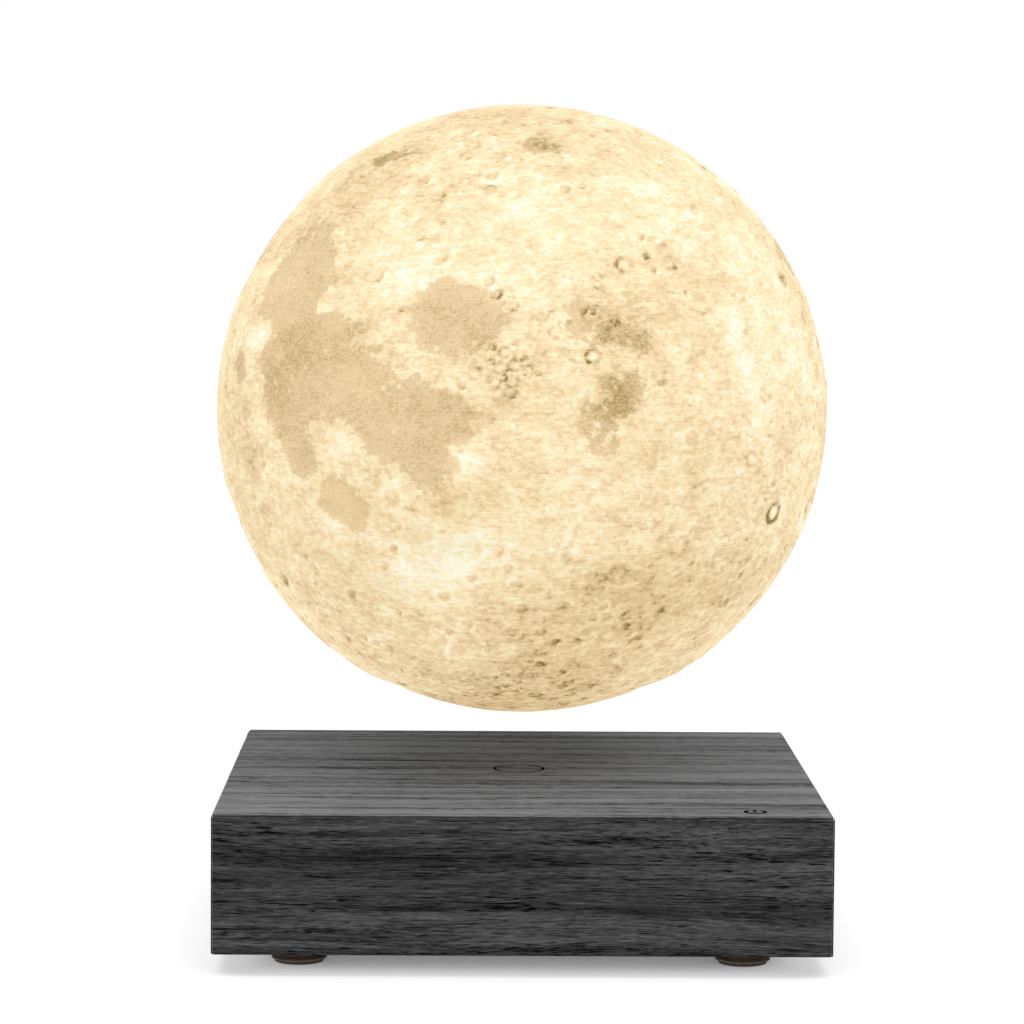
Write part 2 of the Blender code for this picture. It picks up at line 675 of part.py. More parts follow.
def make_tray():
    """The moulded tray under the top: a cup for the magnets, four screwed ears, four stake posts."""
    profile = [
        (0, TRAY_FLOOR_TOP),
        (TRAY_INNER_RADIUS, TRAY_FLOOR_TOP),
        (TRAY_INNER_RADIUS, TRAY_TOP),
        (TRAY_OUTER_RADIUS, TRAY_TOP),
        (TRAY_OUTER_RADIUS, TRAY_BOTTOM),
        (0, TRAY_BOTTOM),
    ]
    tray = turned_part("module_tray", profile, "black_moulding", sides=FINE_SIDES)
    ear_low = TRAY_TOP - EAR_THICKNESS
    ear_reach = TRAY_OUTER_RADIUS - TRAY_WALL / 2
    ear_screw_z = ear_low - GAP - TRAY_SCREW[1]
    screw = None
    for number, (corner, (x, y), turn) in enumerate(corners(EAR_PITCH, EAR_PITCH), 1):
        pitch = TRAY_OUTER_RADIUS + EAR_REACH
        arm = box_mesh("ear_arm", (ear_reach, -EAR_RADIUS, ear_low), (pitch, EAR_RADIUS, TRAY_TOP))
        join(tray, add_cutter("ear_arm_" + corner, arm, turn=(0, 0, turn - 45)))
        tip = cylinder_mesh("ear_tip", EAR_RADIUS, ear_low, TRAY_TOP, SMALL_SIDES)
        join(tray, add_cutter("ear_tip_" + corner, tip, (x, y, 0), (0, 0, 45)))
        hole = cylinder_mesh(
            "ear_hole", TRAY_SCREW[2] + SCREW_CLEARANCE, ear_low - CUT_MARGIN, TRAY_TOP + CUT_MARGIN, SCREW_SIDES
        )
        cut(tray, add_cutter("ear_hole_" + corner, hole, (x, y, 0)))
        name = "tray_screw_%d" % number
        if screw is None:
            screw = turned_part(
                name, screw_profile(TRAY_SCREW), "zinc_screw", (x, y, ear_screw_z), SCREW_SIDES
            )
        else:
            copy_part(screw, name, (x, y, ear_screw_z))
    post_profile = [
        (0, TRAY_BOTTOM + TRAY_WALL / 2),
        (POST_RADIUS, TRAY_BOTTOM + TRAY_WALL / 2),
        (POST_RADIUS, ON_BOARD),
        (STAKE_RADIUS, ON_BOARD),
        (STAKE_RADIUS, BOARD_BOTTOM - GAP),
        (STAKE_HEAD_RADIUS, BOARD_BOTTOM - GAP),
        (STAKE_HEAD_RADIUS * 0.7, BOARD_BOTTOM - GAP - STAKE_HEAD_HEIGHT),
        (0, BOARD_BOTTOM - GAP - STAKE_HEAD_HEIGHT),
    ]
    for corner, (x, y), _ in corners(POST_PITCH, POST_PITCH):
        join(tray, turned_cutter("stake_post_" + corner, post_profile, (x, y, 0), SCREW_SIDES))
    lead_hole = cylinder_mesh(
        "sensor_lead_hole", SENSOR_LEAD_RADIUS + GAP, TRAY_BOTTOM - CUT_MARGIN, TRAY_FLOOR_TOP + CUT_MARGIN,
        SCREW_SIDES,
    )
    cut(tray, add_cutter("sensor_lead_hole", lead_hole, (SENSOR_LEAD_PLACE, SENSOR_LEAD_PLACE, 0)))


def make_magnets():
    """The ring magnet that carries the moon, and the four electromagnets that keep it centred."""
    turned_part(
        "ring_magnet",
        ring_profile(RING_MAGNET_BORE, RING_MAGNET_RADIUS, MODULE_FLOOR, MODULE_FLOOR + RING_MAGNET_HEIGHT),
        "ferrite", sides=FINE_SIDES, is_ring=True,
    )
    bore = COIL_HUB_RADIUS - COIL_HUB_WALL
    bobbin_profile = [
        (COIL_FLANGE_RADIUS, COIL_HEIGHT),
        (COIL_FLANGE_RADIUS, COIL_HEIGHT - COIL_FLANGE),
        (COIL_HUB_RADIUS, COIL_HEIGHT - COIL_FLANGE),
        (COIL_HUB_RADIUS, COIL_FLANGE),
        (COIL_FLANGE_RADIUS, COIL_FLANGE),
        (COIL_FLANGE_RADIUS, 0),
        (bore, 0),
        (bore, COIL_HEIGHT),
    ]
    winding_profile = ring_profile(
        COIL_HUB_RADIUS + GAP, COIL_FLANGE_RADIUS - 2 * GAP, COIL_FLANGE + GAP, COIL_HEIGHT - COIL_FLANGE - GAP
    )
    core_radius = bore - GAP
    core_profile = [(0, COIL_HEIGHT), (core_radius, COIL_HEIGHT), (core_radius, 0), (0, 0)]
    for number in range(1, COIL_COUNT + 1):
        angle = math.tau * (number - 1) / COIL_COUNT
        place = (COIL_PITCH_RADIUS * math.cos(angle), COIL_PITCH_RADIUS * math.sin(angle), MODULE_FLOOR)
        turned_part("coil_bobbin_%d" % number, bobbin_profile, "white_nylon", place, SMALL_SIDES, True)
        turned_part("coil_winding_%d" % number, winding_profile, "enamelled_copper", place, SMALL_SIDES, True)
        turned_part("coil_core_%d" % number, core_profile, "soft_iron", place, SMALL_SIDES)


def make_sensor_board():
    """The round board over the coils, with three Hall sensors hanging in the middle."""
    bottom = SENSOR_BOARD_BOTTOM
    disc = cylinder_mesh(
        "sensor_board", SENSOR_BOARD_RADIUS, bottom, bottom + SENSOR_BOARD_THICKNESS, FINE_SIDES
    )
    board = add_part("sensor_board", disc, "green_board")
    long, thick, tall = SENSOR_SIZE
    root = bottom + SENSOR_BOARD_THICKNESS / 2
    places = (
        ("x", (SENSOR_OFFSET, 0), (thick, long, tall)),
        ("y", (0, SENSOR_OFFSET), (long, thick, tall)),
        ("z", (0, -SENSOR_OFFSET), (long, tall, thick)),
    )
    for axis, (x, y), (size_x, size_y, size_z) in places:
        low = (x - size_x / 2, y - size_y / 2, bottom - size_z)
        high = (x + size_x / 2, y + size_y / 2, root)
        join(board, add_cutter("hall_sensor_" + axis, box_mesh("hall_sensor_" + axis, low, high)))
    lead_part(
        "sensor_lead",
        [
            (SENSOR_LEAD_PLACE, SENSOR_LEAD_PLACE, bottom - GAP),
            (SENSOR_LEAD_PLACE, SENSOR_LEAD_PLACE, TRAY_BOTTOM),
            (SENSOR_LEAD_PLACE, SENSOR_LEAD_PLACE, ON_BOARD),
        ],
        SENSOR_LEAD_RADIUS, "red_lead",
    )


def add_chips(board, chips, top, parent=None):
    """Chips, coils and sockets on a board, joined to it because they are soldered down."""
    for name, x, y, size_x, size_y, height in chips:
        low = (x - size_x / 2, y - size_y / 2, top - CHIP_SINK)
        high = (x + size_x / 2, y + size_y / 2, top + height)
        join(board, add_cutter(name, box_mesh(name, low, high), parent=parent))


def make_control_board():
    """The board staked under the tray: controller, four coil drivers, coil and lead sockets."""
    board_mesh = box_mesh(
        "control_board",
        (-BOARD_HALF_WIDTH, -BOARD_FRONT, BOARD_BOTTOM),
        (BOARD_HALF_WIDTH, BOARD_BACK, BOARD_TOP),
    )
    board = add_part("control_board", board_mesh, "green_board")
    inset = SOCKET_INSET + SOCKET_SIZE / 2
    sockets = (
        ("transmit_socket", BOARD_HALF_WIDTH - inset, 0, SOCKET_SIZE, SOCKET_SIZE, SOCKET_HEIGHT),
        ("touch_socket", TOUCH_SOCKET_X, inset - BOARD_FRONT, SOCKET_SIZE, SOCKET_SIZE, SOCKET_HEIGHT),
    )
    add_chips(board, (*CONTROL_CHIPS, *sockets), BOARD_TOP)
    for corner, (x, y), _ in corners(POST_PITCH, POST_PITCH):
        hole = cylinder_mesh(
            "stake_hole", STAKE_RADIUS + GAP, BOARD_BOTTOM - CUT_MARGIN, BOARD_TOP + CUT_MARGIN, SCREW_SIDES
        )
        cut(board, add_cutter("stake_hole_" + corner, hole, (x, y, 0)))
    can_profile = [
        (0, CAPACITOR_HEIGHT),
        (CAPACITOR_RADIUS * 0.85, CAPACITOR_HEIGHT),
        (CAPACITOR_RADIUS, CAPACITOR_HEIGHT * 0.94),
        (CAPACITOR_RADIUS, CAPACITOR_HEIGHT * 0.30),
        (CAPACITOR_RADIUS * 0.90, CAPACITOR_HEIGHT * 0.24),
        (CAPACITOR_RADIUS, CAPACITOR_HEIGHT * 0.18),
        (CAPACITOR_RADIUS, 0),
        (0, 0),
    ]
    y = BOARD_BACK - CAPACITOR_INSET
    for number, x in enumerate((-CAPACITOR_X, CAPACITOR_X), 1):
        turned_part("capacitor_%d" % number, can_profile, "capacitor_can", (x, y, ON_BOARD), SMALL_SIDES)


def make_power_jack():
    """The jack behind the inlet, with its centre pin set back in the bore."""
    width, depth, height = JACK_SIZE
    body = box_mesh(
        "power_jack", (-width / 2, JACK_FACE - depth, ON_BOARD), (width / 2, JACK_FACE, ON_BOARD + height)
    )
    jack = add_part("power_jack", body, "black_moulding")
    # Turned about the bore's axis: 0 is the jack's face, and -Z here is into the jack
    bore = cylinder_mesh("jack_bore", JACK_BORE_RADIUS, -JACK_BORE_DEPTH, CUT_MARGIN, SMALL_SIDES)
    cut(jack, add_cutter("jack_bore", bore, (0, JACK_FACE, JACK_AXIS_Z), (-90, 0, 0)))
    pin_root = JACK_BORE_DEPTH + JACK_PIN_ROOT
    socket = cylinder_mesh("pin_socket", JACK_PIN_RADIUS + GAP, -pin_root - GAP, -CUT_MARGIN, SCREW_SIDES)
    cut(jack, add_cutter("pin_socket", socket, (0, JACK_FACE, JACK_AXIS_Z), (-90, 0, 0)))
    pin_profile = [
        (0, -JACK_PIN_RECESS),
        (JACK_PIN_RADIUS * 0.6, -JACK_PIN_RECESS),
        (JACK_PIN_RADIUS, -JACK_PIN_RECESS - JACK_PIN_RADIUS / 2),
        (JACK_PIN_RADIUS, -pin_root),
        (0, -pin_root),
    ]
    turned_part(
        "power_jack_pin", pin_profile, "nickel", (0, JACK_FACE, JACK_AXIS_Z), SCREW_SIDES, turn=(-90, 0, 0)
    )


def make_power_sender():
    """The flat transmit coil in the pocket under the top, and its twin lead to the board."""
    turned_part(
        "transmit_coil",
        ring_profile(
            TRANSMIT_COIL_BORE, TRANSMIT_COIL_RADIUS, TRANSMIT_COIL_TOP - TRANSMIT_COIL_THICKNESS, TRANSMIT_COIL_TOP
        ),
        "enamelled_copper", sides=FINE_SIDES, is_ring=True,
    )
    coil_z = POCKET_TOP - TRANSMIT_LEAD_RADIUS - 2 * GAP
    drop_x = CHANNEL_END - TRANSMIT_LEAD_RADIUS - 2 * GAP
    mouth_x = BOARD_HALF_WIDTH - SOCKET_INSET + GAP
    # From the coil's edge, out through the channel, down beside the tray and in to the socket
    lead_part(
        "transmit_lead",
        [
            (TRANSMIT_COIL_RADIUS + GAP, 0, coil_z),
            (0.5 * (TRANSMIT_COIL_RADIUS + drop_x), 0, coil_z),
            (drop_x - 0.0008, 0, CEILING + 0.0002),
            (drop_x, 0, 0.5 * (CEILING + ON_BOARD)),
            (drop_x - 0.0020, 0, SOCKET_LEAD_Z + 0.0035),
            (0.5 * (mouth_x + drop_x), 0, SOCKET_LEAD_Z),
            (mouth_x, 0, SOCKET_LEAD_Z),
        ],
        TRANSMIT_LEAD_RADIUS, "red_lead",
    )


def make_touch_switch():
    """The touch board on the underside of the top, below the power symbol, and its lead."""
    size_x, size_y, size_z = TOUCH_BOARD_SIZE
    top = CEILING - GAP
    middle_y = max(TOUCH_Y, GAP - INNER_Y + size_y / 2)
    board_mesh = box_mesh(
        "touch_board",
        (TOUCH_X - size_x / 2, middle_y - size_y / 2, top - size_z),
        (TOUCH_X + size_x / 2, middle_y + size_y / 2, top),
    )
    board = add_part("touch_board", board_mesh, "green_board")
    chip_x, chip_y, chip_z = TOUCH_CHIP_SIZE
    chip_mesh = box_mesh(
        "touch_chip",
        (TOUCH_X - chip_x / 2, middle_y - chip_y / 2, top - size_z - chip_z),
        (TOUCH_X + chip_x / 2, middle_y + chip_y / 2, top - size_z / 2),
    )
    join(board, add_cutter("touch_chip", chip_mesh))
    lead_z = top - TOUCH_LEAD_RADIUS
    start_x = TOUCH_X - size_x / 2 - GAP
    mouth_y = SOCKET_INSET - GAP - BOARD_FRONT
    # From the board's side, down in front of the control board and back in to its socket
    lead_part(
        "touch_lead",
        [
            (start_x, middle_y, lead_z),
            (start_x - 0.004, middle_y, lead_z),
            (start_x - 0.010, middle_y + 0.002, lead_z - 0.004),
            (TOUCH_SOCKET_X, middle_y + 0.004, 0.5 * (lead_z + SOCKET_LEAD_Z)),
            (TOUCH_SOCKET_X, mouth_y - 0.0065, SOCKET_LEAD_Z + 0.0012),
            (TOUCH_SOCKET_X, mouth_y - 0.0020, SOCKET_LEAD_Z),
            (TOUCH_SOCKET_X, mouth_y, SOCKET_LEAD_Z),
        ],
        TOUCH_LEAD_RADIUS, "red_lead",
    )


def angle_from(points, latitude, longitude):
    """Angle between each point, a unit vector in a row, and a place on the moon's map."""
    lat = math.radians(latitude)
    lon = math.radians(longitude)
    place = np.array((math.cos(lat) * math.cos(lon), math.cos(lat) * math.sin(lon), math.sin(lat)))
    return np.arccos(np.clip(points @ place, -1, 1))


def sea_cover(points):
    """How far each point lies in a sea: 1 on its floor, 0 on land."""
    cover = np.zeros(len(points))
    for latitude, longitude, radius in SEAS:
        share = angle_from(points, latitude, longitude) / math.radians(radius)
        cover = np.maximum(cover, np.clip((1 - share) / SEA_SHORE, 0, 1))
    return cover


def all_craters():
    """The map's large craters, and small ones spread over the land, the same each time."""
    dice = random.Random(RELIEF_SEED)
    craters = list(CRATERS)
    while len(craters) < len(CRATERS) + SMALL_CRATERS:
        latitude = math.degrees(math.asin(dice.uniform(-0.86, 0.98)))
        longitude = dice.uniform(-180, 180)
        radius = dice.uniform(*SMALL_CRATER_RADII)
        is_clear = all(
            math.hypot(latitude - other[0], (longitude - other[1]) * math.cos(math.radians(latitude)))
            > radius + other[2]
            for other in (*craters, *SEAS)
        )
        if is_clear:
            craters.append((latitude, longitude, radius))
    return craters


def relief(points):
    """Height of the printed surface over the round moon at each point of the map."""
    x, y, z = points.T
    heights = LAND_ROUGHNESS * np.sin(19 * x + 5 * z) * np.sin(17 * y - 11 * z)
    heights -= SEA_DEPTH * sea_cover(points)
    for latitude, longitude, radius in all_craters():
        turn = math.radians(radius)
        depth = min(CRATER_DEPTH, CRATER_SLOPE * turn * MOON_RADIUS)
        share = angle_from(points, latitude, longitude) / turn
        bowl = CRATER_RIM * share ** 2 - np.clip(CRATER_BOWL * (1 - share), 0, 1)
        apron = CRATER_RIM * (np.clip(CRATER_APRON - share, 0, 1) / (CRATER_APRON - 1)) ** 2
        heights += depth * np.where(share < 1, bowl, apron)
    return heights


def moon_mesh():
    """The outside of the moon: its relief fades to round, then leads in to the cap."""
    bm = bmesh.new()
    bmesh.ops.create_icosphere(bm, subdivisions=RELIEF_LEVELS, radius=1)
    points = np.array([vert.co.normalized() for vert in bm.verts])
    turn = Euler([math.radians(angle) for angle in MAP_TURN]).to_matrix()
    heights = relief(points @ np.array(turn))
    opening_angle = math.asin(COLLAR_RADIUS / MOON_RADIUS)
    polar = np.arccos(-points[:, 2])
    heights *= np.clip((polar - 1.1 * opening_angle) / RELIEF_FADE, 0, 1)
    heights -= CAP_RAISE * np.clip(1 - (polar - opening_angle) * MOON_RADIUS / RIM_REACH, 0, 1)
    for vert, point, height in zip(bm.verts, points, MOON_RADIUS + heights):
        vert.co = point * height
    return mesh_from(bm, "moon_shell", 60)


def make_moon_shell(parent):
    """The hollow printed moon, with a collar round its opening that carries the float unit."""
    shell = add_part("moon_shell", moon_mesh(), "printed_moon", parent=parent)
    # Facets stay small over the relief and grow where the moon is plain
    thin = shell.modifiers.new("Fewer facets", "DECIMATE")
    thin.ratio = RELIEF_FACETS
    bm = bmesh.new()
    bmesh.ops.create_icosphere(bm, subdivisions=CAVITY_LEVELS, radius=MOON_RADIUS - SHELL_WALL)
    cut(shell, add_cutter("moon_cavity", mesh_from(bm, "moon_cavity"), parent=parent))
    # Its lower edge is sunk into the wall of the shell
    collar_foot = 0.2 * SHELL_WALL + CAP_RAISE - math.sqrt(MOON_RADIUS ** 2 - COLLAR_RADIUS ** 2)
    collar_top = SEAT_Z + COLLAR_FLANGE
    collar = cylinder_mesh("collar", COLLAR_RADIUS, collar_foot, collar_top, FINE_SIDES)
    join(shell, add_cutter("collar", collar, parent=parent))
    opening = cylinder_mesh("opening", OPENING_RADIUS, -1.2 * MOON_RADIUS, SEAT_Z, FINE_SIDES)
    cut(shell, add_cutter("opening", opening, parent=parent))
    bore = cylinder_mesh("collar_bore", COLLAR_BORE, SEAT_Z - CUT_MARGIN, collar_top + CUT_MARGIN, FINE_SIDES)
    cut(shell, add_cutter("collar_bore", bore, parent=parent))
    for number, angle in enumerate(BOSS_ANGLES, 1):
        place = boss_place(angle, 0)
        boss = cylinder_mesh(
            "boss", BOSS_RADIUS, collar_top - COLLAR_FLANGE / 2, collar_top + BOSS_HEIGHT, SMALL_SIDES
        )
        join(shell, add_cutter("boss_%d" % number, boss, place, parent=parent))
        hole = cylinder_mesh(
            "boss_hole", CARRIER_SCREW[2] + SCREW_CLEARANCE, SEAT_Z - CUT_MARGIN,
            collar_top + BOSS_HEIGHT + CUT_MARGIN, SCREW_SIDES,
        )
        cut(shell, add_cutter("boss_hole_%d" % number, hole, place, parent=parent))


def boss_place(angle, z):
    turn = math.radians(angle)
    return (BOSS_PITCH_RADIUS * math.cos(turn), BOSS_PITCH_RADIUS * math.sin(turn), z)


def make_bottom_cap(parent):
    """The cap that closes the moon: round like the moon outside, with a small flat to stand on."""
    rim_radius = OPENING_RADIUS - GAP
    inner_sphere = MOON_RADIUS - CAP_WALL
    rim_inner = rim_radius - CAP_RIM
    flat_z = CAP_RAISE - math.sqrt(MOON_RADIUS ** 2 - MOON_FLAT_RADIUS ** 2)
    inner = [(0, flat_z + CAP_WALL)]
    for step in range(CAP_STEPS + 1):
        radius = MOON_FLAT_RADIUS + (rim_inner - MOON_FLAT_RADIUS) * step / CAP_STEPS
        round_z = CAP_RAISE - math.sqrt(inner_sphere ** 2 - radius ** 2)
        inner.append((radius, max(flat_z + CAP_WALL, round_z)))
    outer = []
    for step in range(CAP_STEPS + 1):
        radius = rim_radius + (MOON_FLAT_RADIUS - rim_radius) * step / CAP_STEPS
        outer.append((radius, CAP_RAISE - math.sqrt(MOON_RADIUS ** 2 - radius ** 2)))
    rim_z = CARRIER_BOTTOM - GAP
    profile = [*inner, (rim_inner, rim_z), (rim_radius, rim_z), *outer, (0, flat_z)]
    turned_part("bottom_cap", profile, "printed_moon", sides=FINE_SIDES, parent=parent)


def make_carrier(parent):
    """The plate screwed up into the collar, with the cup that the float magnet sits in."""
    cup_bottom = CARRIER_BOTTOM - CUP_DROP
    profile = [
        (0, CUP_TOP),
        (CUP_RADIUS, CUP_TOP),
        (CUP_RADIUS, CARRIER_TOP),
        (CARRIER_RADIUS, CARRIER_TOP),
        (CARRIER_RADIUS, CARRIER_BOTTOM),
        (CUP_RADIUS, CARRIER_BOTTOM),
        (CUP_RADIUS, cup_bottom),
        (CUP_BORE, cup_bottom),
        (CUP_BORE, CUP_TOP - CARRIER_ROOF),
        (0, CUP_TOP - CARRIER_ROOF),
    ]
    carrier = turned_part("carrier_plate", profile, "white_nylon", sides=FINE_SIDES, parent=parent)
    counterbore_top = CARRIER_BOTTOM + COUNTERBORE_DEPTH
    screw_z = counterbore_top - GAP - CARRIER_SCREW[1]
    for number, angle in enumerate(BOSS_ANGLES, 1):
        place = boss_place(angle, 0)
        hole = cylinder_mesh(
            "carrier_hole", CARRIER_SCREW[2] + SCREW_CLEARANCE, CARRIER_BOTTOM, CARRIER_TOP + CUT_MARGIN, SCREW_SIDES
        )
        cut(carrier, add_cutter("carrier_hole_%d" % number, hole, place, parent=parent))
        counterbore = cylinder_mesh(
            "counterbore", CARRIER_SCREW[0] + SCREW_CLEARANCE, CARRIER_BOTTOM - CUT_MARGIN, counterbore_top,
            SMALL_SIDES,
        )
        cut(carrier, add_cutter("counterbore_%d" % number, counterbore, place, parent=parent))
        turned_part(
            "carrier_screw_%d" % number, screw_profile(CARRIER_SCREW), "zinc_screw", boss_place(angle, screw_z),
            SCREW_SIDES, parent=parent,
        )
    lead_hole = cylinder_mesh(
        "receiver_lead_hole", RECEIVER_LEAD_RADIUS + GAP, CARRIER_BOTTOM - CUT_MARGIN, CARRIER_TOP + CUT_MARGIN,
        SCREW_SIDES,
    )
    cut(carrier, add_cutter("receiver_lead_hole", lead_hole, (RECEIVER_LEAD_X, 0, 0), parent=parent))


def make_receiver(parent):
    """The coil under the carrier, the board on its roof and the lead that joins them."""
    coil_top = CARRIER_BOTTOM - GAP
    turned_part(
        "receiver_coil",
        ring_profile(RECEIVER_COIL_INNER, RECEIVER_COIL_OUTER, coil_top - RECEIVER_COIL_THICKNESS, coil_top),
        "enamelled_copper", sides=FINE_SIDES, is_ring=True, parent=parent,
    )
    disc = cylinder_mesh(
        "receiver_board", RECEIVER_BOARD_RADIUS, RECEIVER_BOARD_BOTTOM, RECEIVER_BOARD_TOP, FINE_SIDES
    )
    board = add_part("receiver_board", disc, "green_board", parent=parent)
    add_chips(board, RECEIVER_CHIPS, RECEIVER_BOARD_TOP, parent)
    end_z = RECEIVER_BOARD_BOTTOM + RECEIVER_BOARD_THICKNESS / 2
    end_x = RECEIVER_BOARD_RADIUS + GAP
    lead_part(
        "receiver_lead",
        [
            (RECEIVER_LEAD_X, 0, coil_top + GAP),
            (RECEIVER_LEAD_X, 0, CARRIER_TOP),
            (RECEIVER_LEAD_X, 0, end_z - 1.4 * RECEIVER_LEAD_RADIUS),
            (end_x + 0.9 * RECEIVER_LEAD_RADIUS, 0, end_z + GAP),
            (end_x, 0, end_z + GAP),
        ],
        RECEIVER_LEAD_RADIUS, "red_lead", parent,
    )


def make_light(parent):
    """The light board on its post: six white chips that shine up into the moon."""
    turned_part(
        "light_post",
        ring_profile(
            LIGHT_POST_BORE, LIGHT_POST_RADIUS, LIGHT_POST_BOTTOM, LIGHT_POST_BOTTOM + LIGHT_POST_HEIGHT
        ),
        "white_nylon", sides=SMALL_SIDES, is_ring=True, parent=parent,
    )
    board_top = LIGHT_BOARD_BOTTOM + LIGHT_BOARD_THICKNESS
    disc = cylinder_mesh("light_board", LIGHT_BOARD_RADIUS, LIGHT_BOARD_BOTTOM, board_top, ROUND_SIDES)
    board = add_part("light_board", disc, "white_board", parent=parent)
    size_x, size_y, size_z = LIGHT_CHIP_SIZE
    for number in range(1, LIGHT_CHIP_COUNT + 1):
        angle = 360 * (number - 1) / LIGHT_CHIP_COUNT
        chip = box_mesh(
            "light_chip",
            (LIGHT_CHIP_PITCH - size_x / 2, -size_y / 2, board_top - LIGHT_BOARD_THICKNESS / 2),
            (LIGHT_CHIP_PITCH + size_x / 2, size_y / 2, board_top + size_z),
        )
        join(board, add_cutter("light_chip_%d" % number, chip, turn=(0, 0, angle), parent=parent))


def make_float_magnet(parent):
    profile = [
        (0, FLOAT_MAGNET_TOP),
        (FLOAT_MAGNET_RADIUS, FLOAT_MAGNET_TOP),
        (FLOAT_MAGNET_RADIUS, FLOAT_MAGNET_TOP - FLOAT_MAGNET_HEIGHT),
        (0, FLOAT_MAGNET_TOP - FLOAT_MAGNET_HEIGHT),
    ]
    turned_part("float_magnet", profile, "nickel", sides=FINE_SIDES, parent=parent)


def add_axis(name, location, parent=None):
    """An empty on a joint's axis."""
    empty = bpy.data.objects.new(name, None)
    lamp_parts.objects.link(empty)
    empty.location = location
    empty.parent = parent
    empty.empty_display_size = 0.02
    return empty


clear_scene()
lamp_parts = new_collection("moon_lamp")
lamp_cutters = new_collection("moon_lamp_cutters")

make_box()
make_bottom()
make_feet()
make_tray()
make_magnets()
make_sensor_board()
make_control_board()
make_power_jack()
make_power_sender()
make_touch_switch()

hover_axis = add_axis("hover_axis", (0, 0, MOON_Z))
spin_axis = add_axis("spin_axis", (0, 0, 0), hover_axis)
make_float_magnet(hover_axis)
make_moon_shell(spin_axis)
make_bottom_cap(spin_axis)
make_carrier(spin_axis)
make_receiver(spin_axis)
make_light(spin_axis)
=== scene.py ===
import json
import math
import random

import bmesh
import bpy
import numpy as np
from mathutils import Euler, Matrix, Vector, noise


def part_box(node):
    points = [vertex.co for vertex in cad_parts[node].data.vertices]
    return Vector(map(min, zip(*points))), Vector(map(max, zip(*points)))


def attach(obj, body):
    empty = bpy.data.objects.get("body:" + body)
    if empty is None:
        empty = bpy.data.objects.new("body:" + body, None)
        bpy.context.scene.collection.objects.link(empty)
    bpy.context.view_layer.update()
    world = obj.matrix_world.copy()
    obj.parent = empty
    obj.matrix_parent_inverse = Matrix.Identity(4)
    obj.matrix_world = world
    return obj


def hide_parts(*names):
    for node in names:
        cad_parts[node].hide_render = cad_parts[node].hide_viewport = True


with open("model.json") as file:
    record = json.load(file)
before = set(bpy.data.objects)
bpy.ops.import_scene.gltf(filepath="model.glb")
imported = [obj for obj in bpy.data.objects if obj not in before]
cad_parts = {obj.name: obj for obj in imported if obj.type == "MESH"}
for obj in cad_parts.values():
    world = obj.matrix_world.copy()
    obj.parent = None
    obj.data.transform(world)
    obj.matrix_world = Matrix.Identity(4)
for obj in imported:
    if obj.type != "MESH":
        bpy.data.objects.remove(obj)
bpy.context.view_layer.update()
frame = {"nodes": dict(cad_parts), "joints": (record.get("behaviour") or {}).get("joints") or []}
millimetre = 0.001
spinJoint = next(joint for joint in frame["joints"] if joint["name"] == "spin")
moonCentre = Vector(spinJoint["pos_m"])
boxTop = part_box("top_panel")[1][2]
print("frame loaded")


# Camera, lights and floor

cameraSettings = {
    "place": (-0.01267, -0.87347, 0.16768),  # metres
    "yaw": -0.688,  # degrees, left is positive
    "pitch": -4.452,
    "roll": 0.402,
    "lens": 127.3,  # mm
    "sensor": 36,  # mm
}
lightSettings = {
    "world": 0.11,  # what the lamp receives from the white room
    # large soft boxes, far off: degrees above the floor and to the right of the front, softness in degrees
    "key": {"height": 66, "right": 6, "softness": 74, "strength": 4.8},
    "fill": {"height": 6, "right": -12, "softness": 14, "strength": 0.42},
}
floorSettings = {
    "size": 60.0,  # metres
    "colour": "#A0A0A0",
    "toCamera": 0.12,  # share of the lamps' light and shadow that the camera sees
    "reach": 0.05,  # metres, how far off a thing casts the painted contact shadow on the floor
    "rays": 48,  # that look for the open sky
    "paintedContactShadow": (  # square root of the open share of the sky, and the grey of the painted contact shadow there
        (0.08, "#6A6A6A"), (0.13, "#7C7C7C"), (0.17, "#949494"), (0.22, "#AEAEAE"), (0.34, "#C6C6C6"),
        (0.56, "#CECECE"), (0.72, "#E4E4E4"), (0.88, "#F6F6F6"),
    ),
}


def toLinear(hexColour):  # sRGB hex to the linear colour that the shaders take
    parts = [int(hexColour[i:i + 2], 16) / 255 for i in (1, 3, 5)]
    return [part / 12.92 if part <= 0.04045 else ((part + 0.055) / 1.055) ** 2.4 for part in parts] + [1.0]


def feed(node, inputs):
    # inputs: socket name or number to a value, to the output that feeds it, or to a node for its first output
    for name, value in inputs.items():
        if isinstance(value, bpy.types.Node):
            value = value.outputs[0]
        socket = node.inputs[name]
        if isinstance(value, bpy.types.NodeSocket):
            node.id_data.links.new(value, socket)
        else:
            socket.default_value = value


def addNode(tree, kind, inputs=None, stops=None, **settings):
    node = tree.nodes.new("ShaderNode" + kind)
    for name, value in settings.items():
        setattr(node, name, value)
    feed(node, inputs or {})
    if stops:
        ramp = node.color_ramp
        while len(ramp.elements) < len(stops):
            ramp.elements.new(1.0)
        for element, (position, colour) in zip(ramp.elements, stops):
            element.position = position
            element.color = toLinear(colour)
    return node


def seenRays(tree):  # 1 for what the camera sees, straight, mirrored or through something clear
    rays = addNode(tree, "LightPath").outputs
    seen = addNode(tree, "Math", {0: rays["Is Camera Ray"], 1: rays["Is Glossy Ray"]}, operation="MAXIMUM")
    return addNode(tree, "Math", {0: seen, 1: rays["Is Transmission Ray"]}, operation="MAXIMUM")


